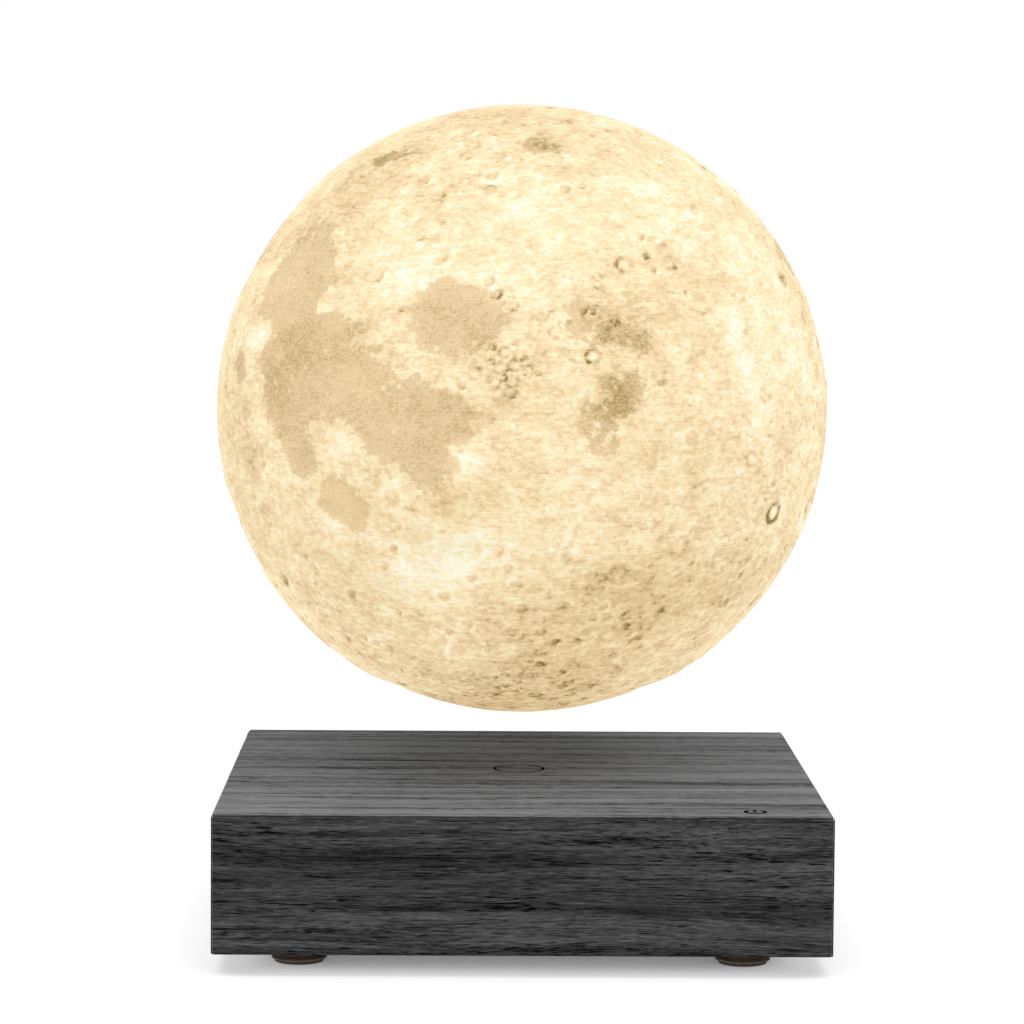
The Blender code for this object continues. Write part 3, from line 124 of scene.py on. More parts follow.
def makeCamera():
    settings = cameraSettings
    yaw, pitch, roll = (math.radians(settings[name]) for name in ("yaw", "pitch", "roll"))
    forward = Vector((-math.sin(yaw) * math.cos(pitch), math.cos(yaw) * math.cos(pitch), math.sin(pitch)))
    right = Vector((math.cos(yaw), math.sin(yaw), 0))
    up = right.cross(forward)
    tiltedRight = right * math.cos(roll) + up * math.sin(roll)
    tiltedUp = up * math.cos(roll) - right * math.sin(roll)
    turn = Matrix((tiltedRight, tiltedUp, -forward)).transposed()
    lens = bpy.data.cameras.new("camera")
    lens.lens = settings["lens"]
    lens.sensor_width = settings["sensor"]
    camera = bpy.data.objects.new("camera", lens)
    camera.matrix_world = Matrix.Translation(settings["place"]) @ turn.to_4x4()
    bpy.context.scene.collection.objects.link(camera)
    bpy.context.scene.camera = camera
    bpy.context.scene.view_settings.view_transform = "Standard"


def makeRoom():
    # White all round to the camera, dimmer to the lamp
    world = bpy.data.worlds.new("white_room")
    world.use_nodes = True
    tree = world.node_tree
    strength = addNode(tree, "MapRange", {"Value": seenRays(tree), "To Min": lightSettings["world"], "To Max": 1.0})
    feed(tree.nodes["Background"], {"Color": (1, 1, 1, 1), "Strength": strength})
    bpy.context.scene.world = world


def softBox(name, settings):
    lamp = bpy.data.lights.new(name, "SUN")
    lamp.energy = settings["strength"]
    lamp.angle = math.radians(settings["softness"])
    height, right = math.radians(settings["height"]), math.radians(settings["right"])
    towards = Vector((math.sin(right) * math.cos(height), -math.cos(right) * math.cos(height), math.sin(height)))
    light = bpy.data.objects.new(name, lamp)
    light.rotation_euler = towards.to_track_quat("Z", "Y").to_euler()
    bpy.context.scene.collection.objects.link(light)


def makeFloor():
    settings = floorSettings
    bm = bmesh.new()
    bmesh.ops.create_grid(bm, x_segments=1, y_segments=1, size=settings["size"] / 2)
    mesh = bpy.data.meshes.new("floor")
    bm.to_mesh(mesh)
    bm.free()
    floor = bpy.data.objects.new("floor", mesh)
    bpy.context.scene.collection.objects.link(floor)
    # Matt white paper: what the camera sees of it is lifted to white where the sky over it is open, and greys as a
    # painted contact shadow where things close it in
    material = bpy.data.materials.new("white_paper_floor")
    material.use_nodes = True
    tree = material.node_tree
    tree.nodes.remove(tree.nodes["Principled BSDF"])
    seen = seenRays(tree)
    # painted contact shadow: an emission that the camera sees, greyed by ambient occlusion, not by lamplight
    sky = addNode(tree, "AmbientOcclusion", {"Distance": settings["reach"]}, samples=settings["rays"]).outputs["AO"]
    sky = addNode(tree, "Math", {0: sky}, operation="SQRT")
    grey = addNode(tree, "ValToRGB", {"Fac": sky}, stops=settings["paintedContactShadow"])
    glow = addNode(tree, "Emission", {"Color": grey, "Strength": seen})
    shade = [settings["toCamera"]] * 3 + [1]
    colour = addNode(tree, "Mix", {0: seen, 6: toLinear(settings["colour"]), 7: shade}, data_type="RGBA")
    paper = addNode(tree, "BsdfDiffuse", {"Color": colour.outputs[2]})
    feed(tree.nodes["Material Output"], {"Surface": addNode(tree, "AddShader", {0: paper, 1: glow})})
    mesh.materials.append(material)


makeCamera()
makeRoom()
softBox("key_light", lightSettings["key"])
softBox("fill_light", lightSettings["fill"])
makeFloor()
print("camera, lights and floor made")


# Materials

moonLayers = ("seaEdge", "tone", "pitted", "tint")  # what the moon's vertices carry


def startMaterial(name, roughness, metallic=0.0, **sockets):
    # Returns the node tree, its shader and Object coordinates in millimetres
    material = bpy.data.materials.new(name)
    material.use_nodes = True
    tree = material.node_tree
    shader = tree.nodes["Principled BSDF"]
    feed(shader, {"Roughness": roughness, "Metallic": metallic})
    feed(shader, {socket.replace("_", " "): value for socket, value in sockets.items()})
    place = addNode(tree, "TexCoord").outputs["Object"]
    inMillimetres = addNode(tree, "VectorMath", {0: place, "Scale": 1 / millimetre}, operation="SCALE")
    return material, tree, shader, inMillimetres.outputs["Vector"]


def bumpFrom(tree, shader, height, depth, strength=1.0):
    # depth in millimetres, where the height runs from 0 to 1
    bump = addNode(tree, "Bump", {"Height": height, "Distance": depth * millimetre, "Strength": strength})
    feed(shader, {"Normal": bump})


def addUp(tree, start, *parts):
    # start, and each pattern times its gain
    for pattern, gain in parts:
        start = addNode(tree, "Math", {0: pattern, 1: gain, 2: start}, operation="MULTIPLY_ADD")
    return start


def layered(tree, level, parts):
    # The same, with patterns that sway about the level
    return addUp(tree, level - 0.5 * sum(gain for _, gain in parts), *parts)


def softNoise(tree, place, size, detail, roughness=0.5, offset=(0, 0, 0)):
    # size: millimetres of its specks along x, y and z
    scale = [1 / length for length in size]
    where = addNode(tree, "Mapping", {"Vector": place, "Location": offset, "Scale": scale})
    return addNode(tree, "TexNoise", {"Vector": where, "Scale": 1.0, "Detail": detail, "Roughness": roughness})


veneerSettings = {
    "stray": (120, 34),  # mm along and across the grain, the slow waves that move it
    "waviness": 4.0,  # mm that they move it
    "patterns": {  # mm along and across the grain, detail, and gain in the tone
        "fibres": (16, 0.5, 3.0, 0.6),  # drawn about twice as coarse as real ash fibre, to show
        "bands": (200, 7.0, 3.0, 0.8),  # growth bands
        "zones": (120, 2.6, 3.0, 0.7),  # streaks, the lighter ones with fewer pores
        "fine": (3.2, 0.24, 2.0, 0.9),
    },
    "tones": ((0.18, "#1D1D1D"), (0.50, "#383838"), (0.86, "#5E5E5E")),
    "pores": ((9.0, 0.30), (3.5, 0.24)),  # mm along and across, two kinds, drawn coarser too
    "poreLevel": 0.57,  # a higher one gives more pores
    "poreZones": -0.40,  # what the zones add to that level
    "poreEdge": 0.05,
    "pore": "#090909",
    "sheen": 1.0,  # of the oiled fibre ends, seen along the surface
    "sheenRoughness": 0.38,
    # start, gain of the tone, gain of the pores: the pores and the dull bands have little sheen and are rough
    "nap": (-0.20, 2.0, -0.5),
    "napTints": ((0.05, "#3C3C3C"), (0.90, "#FFFFFF")),
    "dullness": (0.80, -0.6, 0.5),
    "dullnessRange": (0.3, 0.9),
    "roughness": (0.34, 0.62),
    "relief": 0.06,  # mm
}


def stainedVeneer(name, grain):
    # Open-pored ash veneer, cut flat, stained black and oiled: grey fibres, black pores, a sheen along the grain
    settings = veneerSettings
    material, tree, shader, place = startMaterial(name, 0.45)
    feed(shader, {
        "Specular IOR Level": 0.0, "Sheen Weight": settings["sheen"], "Sheen Roughness": settings["sheenRoughness"]
    })

    def grained(source, along, across, detail=1.0, roughness=0.5):
        size = (along, across, across) if grain == "x" else (across, along, across)
        return softNoise(tree, source, size, detail, roughness)

    stray = grained(place, *settings["stray"]).outputs["Color"]
    stray = addNode(tree, "VectorMath", {0: stray, 1: (0.5, 0.5, 0.5)}, operation="SUBTRACT")
    strayed = addNode(
        tree, "VectorMath", {0: stray, 1: (2 * settings["waviness"],) * 3, 2: place}, operation="MULTIPLY_ADD"
    )
    patterns = {
        kind: (grained(strayed, along, across, detail, 0.6), gain)
        for kind, (along, across, detail, gain) in settings["patterns"].items()
    }
    poreLevel = addUp(tree, settings["poreLevel"], (patterns["zones"][0], settings["poreZones"]))
    pores = None
    for along, across in settings["pores"]:
        inside = addNode(tree, "Math", {0: poreLevel, 1: grained(strayed, along, across)}, operation="SUBTRACT")
        cover = addNode(
            tree, "MapRange", {"Value": inside, "From Min": 0.0, "From Max": settings["poreEdge"]},
            interpolation_type="SMOOTHSTEP",
        )
        pores = cover if pores is None else addNode(tree, "Math", {0: pores, 1: cover}, operation="MAXIMUM")
    tone = layered(tree, 0.5, patterns.values())
    colour = addNode(tree, "ValToRGB", {"Fac": tone}, stops=settings["tones"])
    colour = addNode(tree, "Mix", {0: pores, 6: colour, 7: toLinear(settings["pore"])}, data_type="RGBA")
    nap, dullness = (
        addUp(tree, start, (tone, toneGain), (pores, poreGain))
        for start, toneGain, poreGain in (settings["nap"], settings["dullness"])
    )
    nap = addNode(tree, "ValToRGB", {"Fac": nap}, stops=settings["napTints"])
    low, high = settings["dullnessRange"]
    smooth, rough = settings["roughness"]
    roughness = addNode(
        tree, "MapRange", {"Value": dullness, "From Min": low, "From Max": high, "To Min": smooth, "To Max": rough}
    )
    feed(shader, {"Base Color": colour.outputs[2], "Sheen Tint": nap, "Roughness": roughness})
    height = addNode(tree, "Math", {0: patterns["fibres"][0], 1: pores}, operation="SUBTRACT")
    bumpFrom(tree, shader, height, settings["relief"], 0.6)
    return material


moonSettings = {
    "patterns": {  # mm across and up, detail, roughness, and where in the noise it is read
        "flecks": (1.7, 1.1, 3, 0.6, (3, 8, 2)),
        "printLines": (3.6, 0.36, 3, 0.6, (0, 0, 0)),  # real ones are 0.2 mm high, drawn coarser to show
        "grain": (0.75, 0.5, 2, 0.6, (1, 5, 9)),
        "mottles": (6.5, 4.2, 3, 0.6, (4, 4, 7)),
        "patches": (24, 16, 4, 0.6, (2, 1, 6)),
        "coast": (15, 12, 5, 0.55, (0, 0, 0)),
        "fray": (3.2, 2.2, 6, 0.75, (7, 3, 1)),
        "drift": (36, 26, 2, 0.5, (9, 9, 9)),
    },
    "coast": 8.0,  # degrees that a shore wanders
    "fray": 9.0,  # degrees that it is frayed
    "shore": (7.9, 9.0),  # degrees, from all land to all sea
    # the middle tone, and the gains of flecks, print lines, grain, mottles and patches
    "land": (0.63, (0.85, 0.45, 0.35, 0.75, 0.60)),
    "sea": (0.38, (0.18, 0.24, 0.50, 0.22, 0.35)),
    "seaTint": -0.35,  # what a full tint adds to the tone of a sea
    "pits": ((5.6, 0.42, 0.24), (2.7, 0.22, 0.20)),  # mm between them, mm of shift, gain
    "pitEdge": (0.20, 0.38),
    "pitChance": 0.5,
    "pitGain": -1.45,  # of a pit, against 1 for the one beside it
    # young craters, small bright dots, some with a soft halo: mm between them, gain, radius, chance
    "dots": ((4.2, 0.28, 0.24, 0.30), (8.5, 0.24, 0.14, 0.5), (13, 0.12, 0.30, 0.3)),
    "dotShift": 2.3,  # mm, so that they don't fall on the pits
    "tones": (
        (0.00, "#887446"), (0.20, "#BCA26E"), (0.36, "#DDC298"), (0.50, "#EACFA3"),
        (0.64, "#F5DEB2"), (0.80, "#FBECC6"), (1.00, "#FFFAE4"),
    ),
    "olive": "#D4CBAA",  # what the colour leans to where the tint is 1
    "drift": 0.9,  # gain of the slow drift of the tint
    "leaning": (0.30, 1.30, 0.75),  # tint where it starts, where it ends, and its largest share
    "glow": 0.95,  # share of the light that comes from inside the lit moon
    "print": 0.10,  # share that the printed surface returns
    "lineRelief": 0.6,
    "pitRelief": -0.8,
    "relief": 0.22,  # mm
}


def printedMoon():
    # White PLA, printed in layers and lit from inside by warm diodes: thin spots glow cream, seas are tan
    settings = moonSettings
    material, tree, shader, place = startMaterial("printed_pla_moon", 0.62, Specular_IOR_Level=0.20)
    seaEdge, tone, pitted, tint = (
        addNode(tree, "Attribute", attribute_name=name).outputs["Fac"] for name in moonLayers
    )
    patterns = {
        kind: softNoise(tree, place, (width, width, height), detail, roughness, offset)
        for kind, (width, height, detail, roughness, offset) in settings["patterns"].items()
    }

    # The mapped edge of a sea, made to wander and fray
    shore = addUp(tree, seaEdge, (patterns["coast"], settings["coast"]), (patterns["fray"], settings["fray"]))
    low, high = settings["shore"]
    sea = addNode(
        tree, "MapRange", {"Value": shore, "From Min": low, "From Max": high}, interpolation_type="SMOOTHSTEP"
    )
    grounds = [patterns[kind] for kind in ("flecks", "printLines", "grain", "mottles", "patches")]
    land, ocean = (
        layered(tree, level, list(zip(grounds, gains))) for level, gains in (settings["land"], settings["sea"])
    )
    darker = addNode(tree, "Math", {0: tint, 1: 0.0}, operation="MAXIMUM")
    ocean = addUp(tree, ocean, (darker, settings["seaTint"]))
    total = addNode(tree, "Mix", {0: sea, 2: land, 3: ocean}, data_type="FLOAT")
    total = addNode(tree, "Math", {0: total, 1: tone}, operation="ADD")

    def spots(size, shift, low, high, chance):
        # Round spots in some cells of a net, with an edge from low to high
        moved = addNode(tree, "VectorMath", {0: place, 1: (shift, 0, -shift)}, operation="ADD")
        cells = addNode(tree, "TexVoronoi", {"Vector": moved, "Scale": 1 / size}).outputs
        draw = addNode(tree, "SeparateColor", {0: cells["Color"]})
        present = addNode(tree, "Math", {0: draw, 1: 1 - chance}, operation="GREATER_THAN")
        cover = addNode(
            tree, "MapRange",
            {"Value": cells["Distance"], "From Min": low, "From Max": high, "To Min": 1.0, "To Max": 0.0},
            interpolation_type="SMOOTHSTEP",
        )
        return addNode(tree, "Math", {0: cover, 1: present}, operation="MULTIPLY")

    # Small pits, embossed as painted shading lit from one side, as the print shows it: the same pits a little to one
    # side are taken away
    dents = None
    for size, shift, gain in settings["pits"]:
        here, beside = (
            spots(size, moved, *settings["pitEdge"], settings["pitChance"]) for moved in (0, shift)
        )
        emboss = addUp(tree, beside, (here, settings["pitGain"]))
        emboss = addNode(tree, "Math", {0: emboss, 1: pitted}, operation="MULTIPLY")
        total = addUp(tree, total, (emboss, gain))
        dents = here if dents is None else addNode(tree, "Math", {0: dents, 1: here}, operation="MAXIMUM")
    for size, gain, radius, chance in settings["dots"]:
        total = addUp(tree, total, (spots(size, settings["dotShift"], 0.0, radius, chance), gain))

    colour = addNode(tree, "ValToRGB", {"Fac": total}, stops=settings["tones"])
    drift = addUp(tree, tint, (patterns["drift"], settings["drift"]))
    low, high, most = settings["leaning"]
    leaning = addNode(
        tree, "MapRange", {"Value": drift, "From Min": low, "From Max": high, "To Min": 0.0, "To Max": most},
        interpolation_type="SMOOTHSTEP",
    )
    colour = addNode(
        tree, "Mix", {0: leaning, 6: colour, 7: toLinear(settings["olive"])}, data_type="RGBA", blend_type="MULTIPLY"
    ).outputs[2]
    share = [settings["print"]] * 3 + [1]
    returned = addNode(tree, "Mix", {0: 1.0, 6: colour, 7: share}, data_type="RGBA", blend_type="MULTIPLY")
    feed(shader, {
        "Base Color": returned.outputs[2], "Emission Color": colour, "Emission Strength": settings["glow"]
    })
    dents = addNode(tree, "Math", {0: dents, 1: pitted}, operation="MULTIPLY")
    height = addUp(tree, total, (patterns["printLines"], settings["lineRelief"]), (dents, settings["pitRelief"]))
    bumpFrom(tree, shader, height, settings["relief"], 0.8)
    return material


def speckled(name, colours, grain, depth, roughness, metallic=0.0, spread=0.08, **sockets):
    # A surface whose only pattern is a fine grain, grain millimetres across and depth deep, in wide faint clouds
    material, tree, shader, place = startMaterial(name, roughness, metallic, **sockets)
    grains = addNode(tree, "TexNoise", {"Vector": place, "Scale": 1 / grain, "Detail": 3.0, "Roughness": 0.6})
    clouds = addNode(tree, "TexNoise", {"Vector": place, "Scale": 1 / (18 * grain), "Detail": 2.0})
    mixed = addUp(tree, 0.0, (clouds, 0.5), (grains, 0.5))
    colour = addNode(tree, "ValToRGB", {"Fac": mixed}, stops=((0.35, colours[0]), (0.65, colours[1])))
    rough = addNode(
        tree, "MapRange",
        {"Value": mixed, "From Min": 0.3, "From Max": 0.7, "To Min": roughness - spread, "To Max": roughness + spread},
    )
    feed(shader, {"Base Color": colour, "Roughness": rough})
    bumpFrom(tree, shader, grains, depth, 0.5)
    return material


rubberSettings = {
    "height": 5.0,  # mm, of the whole foot
    # millimetres above the floor, and the colour there: rims painted pale as painted highlights, a groove painted dark
    # as painted shade, the plain rubber over them
    "bands": (
        (0.00, "#A38B78"), (0.20, "#7A6453"), (0.50, "#7A6453"), (0.60, "#B8A593"), (0.66, "#3A2F28"),
        (0.82, "#3A2F28"), (0.90, "#D3C5B6"), (1.12, "#CDBFB0"), (1.25, "#6E5A4B"), (4.80, "#7E6A5B"),
    ),
    "grain": 0.6,  # mm, of the cork
    "mottle": ((0.35, "#D2D2D2"), (0.65, "#FFFFFF")),
    "roughness": (0.40, 0.56),
    "relief": 0.05,  # mm
}


def paintedLightRubber(name):
    # Natural rubber mixed with cork dust, moulded: dull warm brown, mottled, with painted highlights on its rims and
    # painted shade in its groove
    settings = rubberSettings
    material, tree, shader, place = startMaterial(name, 0.48)
    grains = addNode(
        tree, "TexNoise", {"Vector": place, "Scale": 1 / settings["grain"], "Detail": 3.0, "Roughness": 0.6}
    )
    level = addNode(tree, "SeparateXYZ", {0: place}).outputs["Z"]
    share = addNode(tree, "Math", {0: level, 1: 1 / settings["height"]}, operation="MULTIPLY")
    stops = [(height / settings["height"], colour) for height, colour in settings["bands"]]
    # painted highlights on the rims and painted shade in the groove, by height above the floor
    colour = addNode(tree, "ValToRGB", {"Fac": share}, stops=stops)
    mottle = addNode(tree, "ValToRGB", {"Fac": grains}, stops=settings["mottle"])
    colour = addNode(tree, "Mix", {0: 1.0, 6: colour, 7: mottle}, data_type="RGBA", blend_type="MULTIPLY")
    smooth, rough = settings["roughness"]
    roughness = addNode(
        tree, "MapRange", {"Value": grains, "From Min": 0.3, "From Max": 0.7, "To Min": smooth, "To Max": rough}
    )
    feed(shader, {"Base Color": colour.outputs[2], "Roughness": roughness})
    bumpFrom(tree, shader, grains, settings["relief"], 0.5)
    return material


wire = 0.4  # mm, of the coils, with its enamel


def woundCopper(name, isFlat):
    # Copper wire with clear orange enamel: rings in plan on a flat coil, bands up a bobbin, each turn with a painted
    # highlight on its crown and painted shade between turns
    material, tree, shader, place = startMaterial(name, 0.30, 1.0, Coat_Weight=0.5)
    if isFlat:
        flat = addNode(tree, "VectorMath", {0: place, 1: (1, 1, 0)}, operation="MULTIPLY")
        across = addNode(tree, "VectorMath", {0: flat}, operation="LENGTH").outputs["Value"]
    else:
        across = addNode(tree, "SeparateXYZ", {0: place}).outputs["Z"]
    turns = addNode(tree, "Math", {0: across, 1: math.tau / wire}, operation="MULTIPLY")
    wave = addNode(tree, "Math", {0: turns}, operation="SINE")
    crown = addNode(tree, "MapRange", {"Value": wave, "From Min": -1.0, "From Max": 1.0})
    # painted highlight on the crown of each turn, painted shade in the dip between turns
    colour = addNode(
        tree, "ValToRGB", {"Fac": crown}, stops=((0.0, "#4A1E0C"), (0.45, "#A5522A"), (1.0, "#D98A52"))
    )
    feed(shader, {"Base Color": colour})
    bumpFrom(tree, shader, crown, 0.12, 0.8)
    return material


boardSettings = {
    "thickness": {  # mm
        "control_board": 1.6, "sensor_board": 1.0, "touch_board": 1.2, "receiver_board": 1.0, "light_board": 1.2,
    },
    "chipsBelow": ("sensor_board", "touch_board"),
    # the mask and its tracks, then the chips
    "green": ("_epoxy", ("#0E5A34", "#1F7A4A"), ("#101011", "#1C1C1E")),
    # a white mask over an aluminium core, with yellow phosphor on the diodes
    "white": ("_white_mask", ("#E9EAE6", "#D6D8D2"), ("#E6CF6A", "#F0DD86")),
    "tracks": {"Scale": 0.35, "Mortar Size": 0.04, "Brick Width": 1.3, "Row Height": 0.5},
    "trackShift": 0.37,
    "margin": 0.02,  # mm off the board, where its chips begin
    "grain": 6.0,  # grains to a millimetre, on the chips
    "relief": 0.02,  # mm
}


def circuitBoard(node, suffix, mask, body):
    # Glass-epoxy board: a solder mask with the tracks showing through, black epoxy chips above or below it
    settings = boardSettings
    material, tree, shader, place = startMaterial(node + suffix, 0.38)
    low, high = (corner[2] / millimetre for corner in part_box(node))
    if node in settings["chipsBelow"]:
        low = high - settings["thickness"][node]
    else:
        high = low + settings["thickness"][node]
    colours = {"Color1": toLinear(mask[0]), "Color2": toLinear(mask[0]), "Mortar": toLinear(mask[1])}
    tracks = addNode(
        tree, "TexBrick", {"Vector": place, **settings["tracks"], **colours}, offset=settings["trackShift"]
    )
    upward = addNode(tree, "SeparateXYZ", {0: place}).outputs["Z"]
    above = addNode(tree, "Math", {0: upward, 1: high + settings["margin"]}, operation="GREATER_THAN")
    below = addNode(tree, "Math", {0: upward, 1: low - settings["margin"]}, operation="LESS_THAN")
    isChip = addNode(tree, "Math", {0: above, 1: below}, operation="MAXIMUM")
    grains = addNode(tree, "TexNoise", {"Vector": place, "Scale": settings["grain"], "Detail": 2.0})
    chip = addNode(tree, "ValToRGB", {"Fac": grains}, stops=((0.3, body[0]), (0.7, body[1])))
    colour = addNode(tree, "Mix", {0: isChip, 6: tracks, 7: chip}, data_type="RGBA")
    feed(shader, {"Base Color": colour.outputs[2]})
    bumpFrom(tree, shader, grains, settings["relief"], 0.4)
    return material


def sawnPine(name):
    # Sawn softwood: pale yellow with brown late-wood rings and a rough saw-cut face
    material, tree, shader, place = startMaterial(name, 0.72)
    stretched = addNode(tree, "Mapping", {"Vector": place, "Scale": (0.35, 0.35, 0.02)})
    rings = addNode(
        tree, "TexWave", {"Vector": stretched, "Scale": 1.2, "Distortion": 3.0, "Detail": 3.0}, wave_type="RINGS"
    ).outputs["Fac"]
    colour = addNode(
        tree, "ValToRGB", {"Fac": rings}, stops=((0.1, "#E3C693"), (0.7, "#D2AC72"), (1.0, "#A97A45"))
    )
    feed(shader, {"Base Color": colour})
    bumpFrom(tree, shader, rings, 0.08, 0.5)
    return material


materials = {
    "veneerAlongX": stainedVeneer("black_stained_ash_along_x", "x"),
    "veneerAlongY": stainedVeneer("black_stained_ash_along_y", "y"),
    "moon": printedMoon(),
    # Black ABS, moulded with a fine spark-eroded grain: near black, half dull
    "mouldedAbs": speckled("moulded_black_abs", ("#161617", "#222223"), 0.5, 0.03, 0.55),
    "corkRubber": paintedLightRubber("moulded_brown_rubber"),
    # Zinc-plated steel: pale and faintly cloudy
    "zincSteel": speckled("zinc_plated_steel", ("#A9ABAE", "#C6C8CB"), 0.35, 0.01, 0.32, 1.0),
    # Sintered ferrite: charcoal, dull and slightly pitted
    "ferrite": speckled("sintered_ferrite", ("#2B2B2D", "#3A3A3D"), 0.4, 0.05, 0.60),
    # Soft iron, turned: grey metal with a dull skin
    "softIron": speckled("turned_soft_iron", ("#6E6E70", "#8A8A8C"), 0.3, 0.02, 0.45, 1.0),
    # Natural nylon, moulded: off-white, half dull
    "nylon": speckled("moulded_natural_nylon", ("#DAD8CF", "#ECEAE2"), 0.7, 0.02, 0.45),
    # Nickel plate on neodymium: bright, slightly warm
    "nickel": speckled("nickel_plate", ("#B9B4AA", "#CFCAC0"), 0.5, 0.005, 0.20, 1.0, spread=0.04),
    # Drawn aluminium can: bright satin metal
    "drawnAluminium": speckled("drawn_aluminium_can", ("#C3C5C8", "#DADCDE"), 0.25, 0.01, 0.30, 1.0),
    # PVC insulation: glossy red
    "redPvc": speckled("red_pvc_insulation", ("#A51512", "#B91C17"), 0.4, 0.01, 0.35),
    # Laser engraving in black veneer: charred, without sheen
    "charredMark": speckled("laser_charred_mark", ("#040404", "#090909"), 0.15, 0.02, 0.9, Specular_IOR_Level=0.0),
    "coilBands": woundCopper("enamelled_copper_on_bobbin", False),
    "coilRings": woundCopper("enamelled_copper_flat_coil", True),
    "pine": sawnPine("sawn_pine"),
}
for board in boardSettings["thickness"]:
    materials[board] = circuitBoard(board, *boardSettings["white" if board == "light_board" else "green"])
nodesOf = {  # material to the nodes whose names start so
    "veneerAlongX": ("top_panel", "front_wall", "back_wall"),
    "veneerAlongY": ("left_wall", "right_wall"),
    "mouldedAbs": ("bottom_plate", "module_tray", "power_jack"),
    "pine": ("corner_block",),
    "zincSteel": ("foot_screw", "tray_screw", "carrier_screw"),
    "corkRubber": ("foot",),
    "ferrite": ("ring_magnet",),
    "softIron": ("coil_core",),
    "nylon": ("coil_bobbin", "carrier_plate", "light_post"),
    "coilBands": ("coil_winding",),
    "coilRings": ("transmit_coil", "receiver_coil"),
    "nickel": ("power_jack_pin", "float_magnet"),
    "drawnAluminium": ("capacitor",),
    "redPvc": ("transmit_lead", "touch_lead", "sensor_lead", "receiver_lead"),
    "moon": ("moon_shell", "bottom_cap"),
    **{board: (board,) for board in boardSettings["thickness"]},
}
materialOf = {start: materials[name] for name, starts in nodesOf.items() for start in starts}
for nodeName, node in frame["nodes"].items():
    longest = max((start for start in materialOf if nodeName.startswith(start)), key=len)
    node.data.materials.clear()
    node.data.materials.append(materialOf[longest])
print("materials made for", len(frame["nodes"]), "nodes")


# New pieces

mergeReach = 0.002 * millimetre  # vertices closer than this are made one


def finishPiece(name, bm, material, body, replaced=(), sharpAngle=35, givesLight=True):
    mesh = bpy.data.meshes.new(name)
    bm.to_mesh(mesh)
    bm.free()
    mesh.shade_smooth()
    mesh.set_sharp_from_angle(angle=math.radians(sharpAngle))
    mesh.materials.append(material)
    piece = bpy.data.objects.new(name, mesh)
    bpy.context.scene.collection.objects.link(piece)
    piece.visible_diffuse = givesLight
    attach(piece, body)
    if replaced:
        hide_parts(*replaced)
    return piece


def spinProfile(bm, profile, centre, steps, isClosed=False):
    # profile: (radius, height) points; one that isn't closed ends on the axis
    ring = [bm.verts.new((centre[0] + radius, centre[1], centre[2] + height)) for radius, height in profile]
    pairs = list(zip(ring, ring[1:]))
    if isClosed:
        pairs.append((ring[-1], ring[0]))
    edges = [bm.edges.new(pair) for pair in pairs]
    bmesh.ops.spin(
        bm, geom=ring + edges, cent=centre, axis=(0, 0, 1), angle=math.tau, steps=steps, use_merge=True
    )
    bmesh.ops.remove_doubles(bm, verts=bm.verts, dist=mergeReach)
    bmesh.ops.recalc_face_normals(bm, faces=bm.faces)


footSettings = {  # millimetres
    "steps": 72,
    "topRadius": 6.6,
    "padRadius": 5.7,
    "padHeight": 0.62,
    "padRounding": 0.12,
    "grooveRadius": 5.2,
    "flangeRadius": 6.35,  # the thin flange that catches the light
    "flange": (0.84, 1.10),  # its lower and upper face
    "flangeRounding": 0.07,
    "waistRadius": 5.0,
    "waist": 0.30,  # above the flange
    "lip": 0.15,  # the upright edge at the top
    "flareEnd": 0.45,  # below the top
    "flareSteps": 8,
    "recessRadius": 3.3,
    "recessDepth": 2.2,
    "holeRadius": 1.8,
}


def makeFeet():
    settings = footSettings
    top = (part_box("foot_front_left")[1][2]) / millimetre
    pad, padRadius, padRounding = settings["padHeight"], settings["padRadius"], settings["padRounding"]
    under, over = settings["flange"]
    groove, flange, flangeRounding = settings["grooveRadius"], settings["flangeRadius"], settings["flangeRounding"]
    waist, topRadius, lip = settings["waistRadius"], settings["topRadius"], settings["lip"]
    recess, recessTop = settings["recessRadius"], settings["recessDepth"]
    flare = []  # in a quarter wave from the waist to the top
    climb = top - over - (settings["waist"] + settings["flareEnd"])
    for i in range(settings["flareSteps"] + 1):
        share = i / settings["flareSteps"]
        widening = (topRadius - waist) * math.sin(share * math.pi / 2)
        flare.append((waist + widening, over + settings["waist"] + climb * share))
    profile = [
        (topRadius, top - lip), *reversed(flare),
        (waist + 0.15, over + 0.12), (flange - 0.15, over), (flange, over - flangeRounding),
        (flange, under + flangeRounding), (flange - 0.08, under), (groove, under), (groove, pad),
        (padRadius - padRounding, pad), (padRadius, pad - padRounding),
        (padRadius, 0.25), (padRadius - 0.10, 0.07), (padRadius - 0.30, 0),
        (recess + 0.1, 0), (recess, 0.1), (recess, recessTop), (settings["holeRadius"], recessTop),
        (settings["holeRadius"], top), (topRadius - 0.2, top),
    ]
    profile = [(radius * millimetre, height * millimetre) for radius, height in profile]
    for corner in ("front_left", "front_right", "back_left", "back_right"):
        node = "foot_" + corner
        low, high = (Vector(point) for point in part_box(node))
        middle = (low + high) / 2
        bm = bmesh.new()
        spinProfile(bm, profile, (middle.x, middle.y, 0), settings["steps"], True)
        finishPiece("turned_foot_" + corner, bm, materials["corkRubber"], "base", [node])


markSettings = {  # millimetres, and degrees
    "ring": {"place": (0.0, 3.1), "radius": 5.95, "line": 0.62},
    "power": {
        "place": (52.7, -61.5), "radius": 2.25, "line": 0.85, "gap": 66, "barLength": 2.4,
        "barDrop": 0.35,  # share of the bar that lies inside the ring's middle line
    },
    "clearance": 0.005,  # over the top, so that the faces don't meet
    "thickness": 0.04,
    "steps": 96,
}


